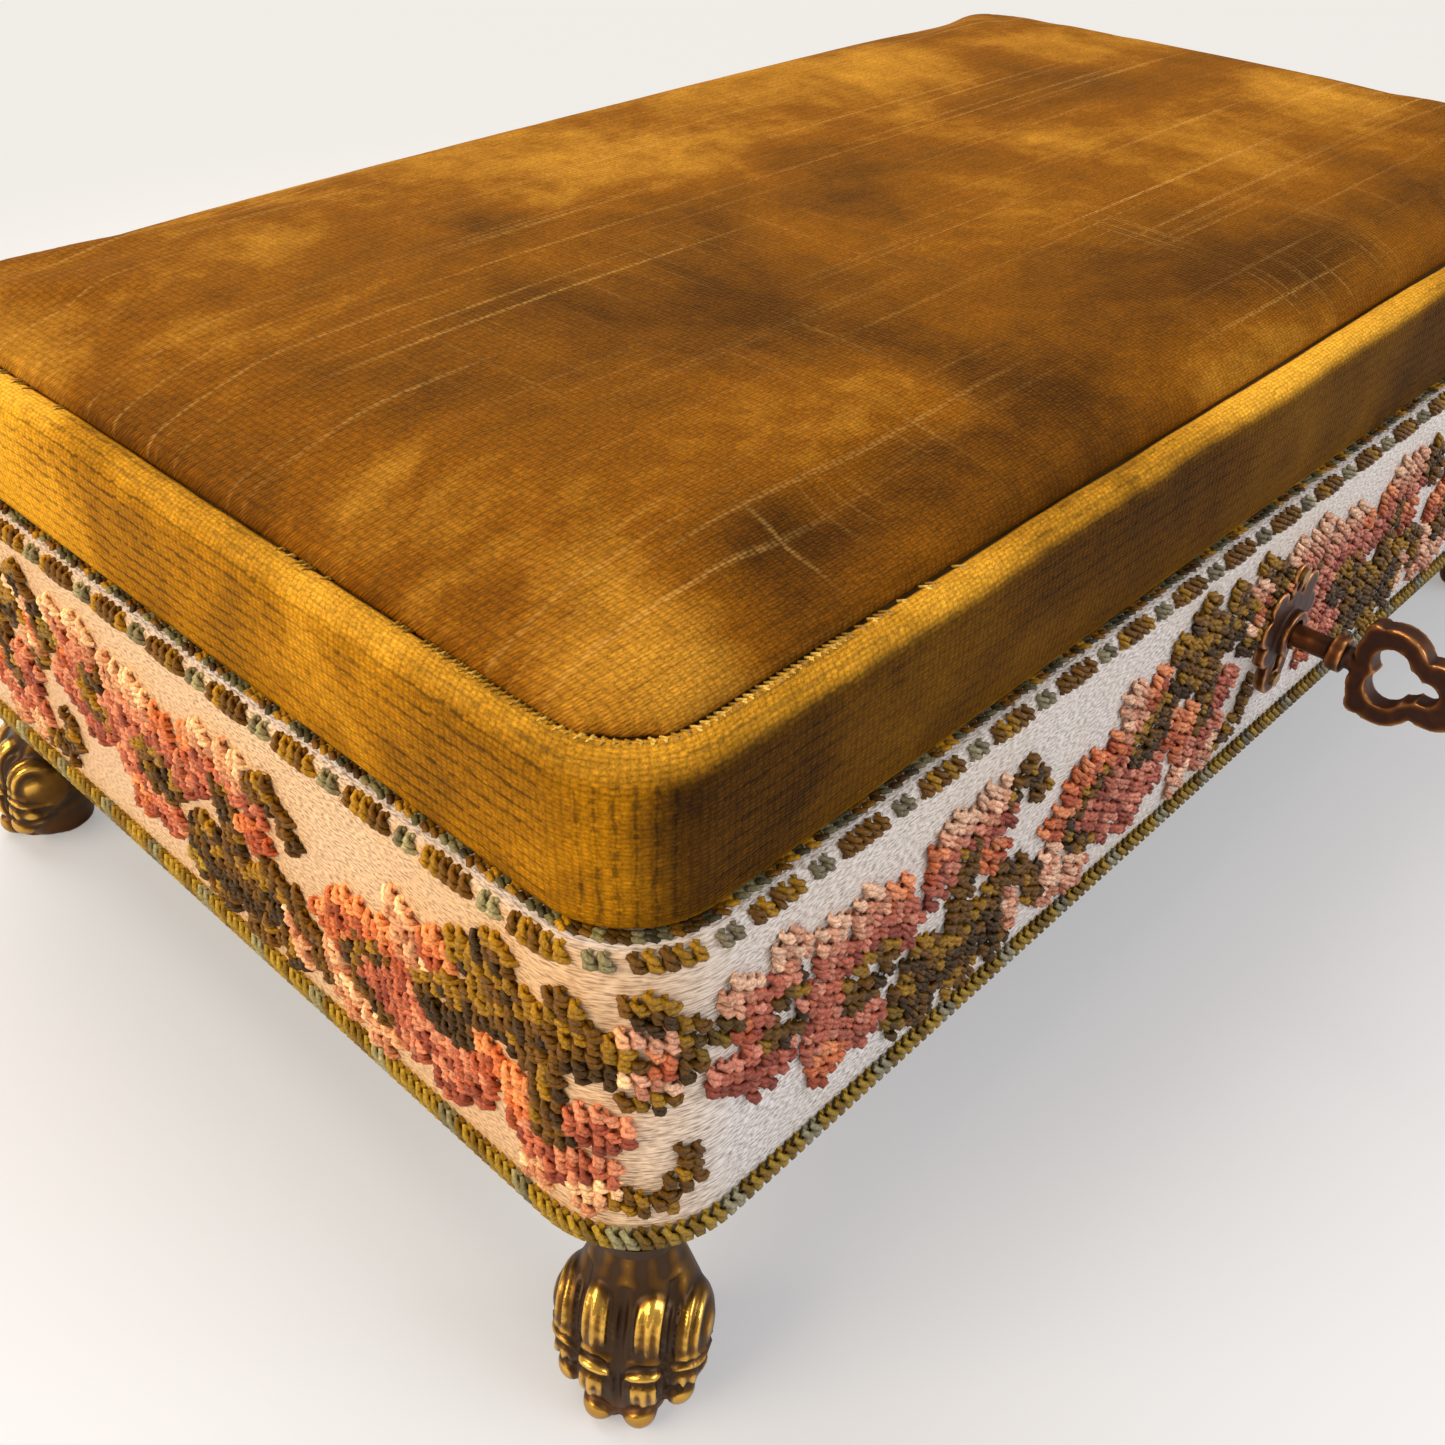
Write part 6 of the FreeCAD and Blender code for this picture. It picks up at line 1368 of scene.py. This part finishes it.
# In mm. Ankle sections: height, forward, half depth, half width. Balls of the toes, pads and claws, on
# both sides: forward, sideways, height and three radii.
ANKLE = [(19.9, 0.0, 3.1, 3.6), (18.2, 0.1, 2.9, 3.4), (16.0, 0.4, 3.2, 3.9), (13.6, 0.8, 4.0, 4.9),
         (11.0, 1.2, 4.9, 5.9), (8.0, 1.6, 5.5, 6.4), (5.0, 2.1, 5.6, 5.9), (2.4, 2.6, 5.4, 5.0),
         (0.0, 2.6, 4.7, 4.0)]
BALLS = [(3.8, 2.1, 9.8, 3.0, 2.4, 4.8), (5.3, 1.95, 5.4, 2.9, 2.3, 3.8), (6.7, 1.7, 1.85, 1.85, 1.65, 1.85),
         (2.0, 4.8, 9.0, 3.6, 2.15, 4.2), (3.6, 4.7, 6.0, 2.6, 2.05, 2.9), (4.9, 4.5, 3.5, 1.7, 1.6, 1.7),
         (4.2, 0.7, 5.2, 2.6, 2.2, 5.0), (4.0, 3.4, 4.6, 2.4, 1.6, 3.4)]


def add_ball(work, place, radii):
    """Adds an ellipsoid, one of the forms that the remesh melts together."""
    made = bmesh.ops.create_uvsphere(work, u_segments=20, v_segments=12, radius=1.0)
    for vertex in made["verts"]:
        vertex.co = Vector(tuple(c * r + p for c, r, p in zip(vertex.co, radii, place)))


print("paw:", len(ANKLE), "ankle sections and", 2 * len(BALLS), "balls")

# %% The cast relief: fur lines, ridges and grooves
TOE_SPLIT, RIDGE_TALL, CUT_TALL = 3.75, 0.34, 0.3


def fur_relief(point):
    """How far the cast surface stands out at a place of the paw's own frame, in mm."""
    u, v, z = point
    sideways = abs(v)
    # The inner and the outer toe: middle, half width, and where we are across it, from -1 to 1
    inner = sideways < TOE_SPLIT
    middle, half = (2.35, 1.55) if inner else (5.3, 1.3)
    across = (sideways - middle) / half
    # The relief fades out towards the heel
    front = min(1.0, max(0.0, (u - 0.6) / 1.6))
    # Fine fur lines above and below the knuckle
    upper = math.exp(-((z - (11.6 if inner else 10.9)) / 2.3) ** 4)
    lower = math.exp(-((z - (5.4 if inner else 5.6)) / (1.5 if inner else 0.9)) ** 4)
    lines = 0.15 * math.cos(across * math.pi * 3.4) * (upper + lower)
    # Two bowed ridges across each knuckle, with a dip between and below them
    bow = z + 0.55 * across * across
    ridge_heights = (8.9, 7.75) if inner else (8.6, 7.6)
    ridges = sum(0.3 * math.exp(-((bow - high) / RIDGE_TALL) ** 2) for high in ridge_heights)
    dip = sum(-deep * math.exp(-((bow - high) / CUT_TALL) ** 2) for deep, high in ((0.18, 8.3), (0.22, 7.1)))
    # Shallow ribs round the ankle, the grooves between the toes, and the cut above each claw
    neck = 0.07 * math.cos(math.atan2(v, u) * 11) * min(1.0, max(0.0, (z - 12.5) / 3)) * (z < 19.3)
    grooves = sum(math.exp(-((sideways - groove) / 0.4) ** 2) for groove in (0.0, TOE_SPLIT))
    between = -0.26 * grooves * (z < 15)
    claw_cut = -0.3 * math.exp(-((bow - (3.35 if inner else 4.9)) / 0.32) ** 2) * (z < 6)
    return front * (lines + (ridges + dip) * (abs(across) < 1.05) + between + claw_cut) + neck


print("relief on a ridge", round(fur_relief((6.0, 2.35, 8.9)), 2), "mm, in a groove",
      round(fur_relief((6.0, 0.0, 10.0)), 2), "mm")

# %% Build one paw
def make_paw():
    """The front left paw in its own frame: forward along +X, with its ankle's axis at the origin."""
    work = bmesh.new()
    rings = []
    for height, forward, deep, wide in ANKLE:
        angles = [k * 2 * math.pi / ANKLE_SIDES for k in range(ANKLE_SIDES)]
        rings.append([work.verts.new((forward + deep * math.cos(angle), wide * math.sin(angle), height))
                      for angle in angles])
    for low_ring, high_ring in zip(rings, rings[1:]):
        for k in range(ANKLE_SIDES):
            n = (k + 1) % ANKLE_SIDES
            work.faces.new((low_ring[k], high_ring[k], high_ring[n], low_ring[n]))
    work.faces.new(rings[0])
    work.faces.new(rings[-1][::-1])
    for forward, sideways, height, ahead, across, up in BALLS:
        for side in (-1, 1):
            add_ball(work, (forward, side * sideways, height), (ahead, across, up))
    bmesh.ops.recalc_face_normals(work, faces=work.faces)
    mesh = bpy.data.meshes.new("paw")
    work.to_mesh(mesh)
    work.free()
    mesh.transform(Matrix.Scale(MM, 4))
    paw = bpy.data.objects.new("cast_paw", mesh)
    bpy.context.scene.collection.objects.link(paw)
    remesh_even(paw, 0.24, smoothing=4)
    for vertex, normal in [(v, v.normal.copy()) for v in paw.data.vertices]:
        vertex.co += normal * fur_relief(tuple(vertex.co / MM)) * MM
        vertex.co.z = max(0.0, vertex.co.z)
    mark_worn(paw, spread=16, passes=4)
    return paw


paw = make_paw()
print("one paw has", len(paw.data.polygons), "faces")

# %% The screw plate on its top, and four of both
def flange_plate(name):
    """The screw plate on top of a paw, a slot shape that is mostly hidden above the ribbon's fold."""
    work = bmesh.new()
    reach, half, low, high = 5.0, 4.0, PAW_HIGH - 1.2, PAW_HIGH
    outline = []
    for middle, first in ((0.0, -90), (-reach, 90)):
        for angle in range(first, first + 181, 15):
            turn = math.radians(angle)
            outline.append((middle + half * math.cos(turn), half * math.sin(turn)))
    bottom = [work.verts.new((x, y, low)) for x, y in outline]
    top = [work.verts.new((x, y, high)) for x, y in outline]
    work.faces.new(bottom)
    work.faces.new(top)
    for k in range(len(outline)):
        n = (k + 1) % len(outline)
        work.faces.new((bottom[k], bottom[n], top[n], top[k]))
    bmesh.ops.recalc_face_normals(work, faces=work.faces)
    mesh = bpy.data.meshes.new(name)
    work.to_mesh(mesh)
    work.free()
    mesh.transform(Matrix.Scale(MM, 4))
    return mesh


def place_paws(paw):
    """Four paws, mirrored to the corners, with their flanges."""
    middle_y = (BASE_BOX[1] + BASE_BOX[2]) / 2
    heading = Matrix.Rotation(math.radians(PAW_HEADING), 4, "Z")
    turn = Matrix.Translation((PAW_AT[0] * MM, PAW_AT[1] * MM, 0)) @ heading
    corners = (("front_left", 1, 1), ("front_right", -1, 1), ("back_left", 1, -1), ("back_right", -1, -1))
    for corner, sx, sy in corners:
        mirror = Matrix.Diagonal((sx, sy, 1, 1))
        shift = Matrix.Translation((0, (middle_y - middle_y * sy) * MM, 0))
        for stem, source in (("cast_paw_", paw.data), ("paw_flange_", flange_plate("flange"))):
            mesh = source.copy()
            mesh.transform(shift @ mirror @ turn)
            if sx * sy < 0:
                mesh.flip_normals()
            if "worn" not in mesh.attributes:
                mesh.attributes.new("worn", "FLOAT", "POINT")
            made = bpy.data.objects.new(stem + corner, mesh)
            bpy.context.scene.collection.objects.link(made)
            hand_over(made, "casket_base", paw_brass,
                      ["paw_foot_" + corner] if stem == "cast_paw_" else [], smooth=stem == "cast_paw_")
    bpy.data.objects.remove(paw)


place_paws(paw)

# %% Key and key plate, softened from the CAD solids
DENTS_PER_MM, DENT_DEEP = 0.9, 0.06


def soften_cast(node, name, body, voxel):
    """A remeshed and smoothed copy of a CAD node, with its worn places marked."""
    mesh = frame["nodes"][node].data.copy()
    made = bpy.data.objects.new(name, mesh)
    bpy.context.scene.collection.objects.link(made)
    turn_faces_out(made)
    remesh_even(made, voxel, smoothing=3)
    for vertex, normal in [(v, v.normal.copy()) for v in made.data.vertices]:
        vertex.co += normal * noise.noise(vertex.co / MM * DENTS_PER_MM) * DENT_DEEP * MM
    mark_worn(made, spread=8, passes=6)
    hand_over(made, body, key_brass, [node])


soften_cast("key", "cast_key", "key", voxel=0.17)
soften_cast("escutcheon", "cast_key_plate", "casket_base", voxel=0.15)

# %% [markdown]
# ## Wood and hardware
# The wooden rings are steam-bent strips and the boards are thin planks, seen only when the lid is
# open or from below. The hinges, the lock and the strike are sheet brass, and screws, pins, bolt
# and spring are steel. Their CAD shapes are right, so only their finish is set here.

# %% Wood
def make_wood(name, dark, light, grain_scale):
    """Wood whose grain is noise, stretched along the piece by the scale, in repeats per metre."""
    wood, tree, shader = new_material(name, Roughness=0.6, Specular_IOR_Level=0.35)
    place = add_node(tree, "ShaderNodeTexCoord")
    long_way = add_node(tree, "ShaderNodeMapping", {"Vector": place.outputs["Object"], "Scale": grain_scale})
    grain = add_node(tree, "ShaderNodeTexNoise", {"Vector": long_way.outputs[0], "Scale": 1.0, "Detail": 6.0,
                                                  "Roughness": 0.65, "Distortion": 0.8})
    hue = add_node(tree, "ShaderNodeValToRGB", {"Fac": grain.outputs["Fac"]},
                   stops=[(0.3, dark), (0.7, light)])
    tree.links.new(hue.outputs["Color"], shader.inputs["Base Color"])
    relief = add_node(tree, "ShaderNodeBump", {"Height": grain.outputs["Fac"], "Strength": 0.3,
                                               "Distance": 0.1 * MM})
    tree.links.new(relief.outputs["Normal"], shader.inputs["Normal"])
    return wood


strip_wood = make_wood("bent_beech_strip", "#8A6238", "#B48A58", (30.0, 30.0, 900.0))
board_wood = make_wood("thin_poplar_board", "#94703F", "#C0A070", (20.0, 600.0, 600.0))
print("woods:", strip_wood.name, "and", board_wood.name)

# %% A finish for every CAD node that shows its own mesh
FINISHES = {"bent_wood": strip_wood, "board": board_wood, "brass": plain_brass, "steel": plain_steel,
            "antique_brass": plain_brass}
slot_of = {part["node"]: part["material_slot"] for part in frame["record"]["subparts"]}
finished = 0
for name, thing in frame["nodes"].items():
    if slot_of[name] in FINISHES:
        for place in thing.material_slots:
            place.material = FINISHES[slot_of[name]]
        finished += 1
print("finished", finished, "CAD nodes")
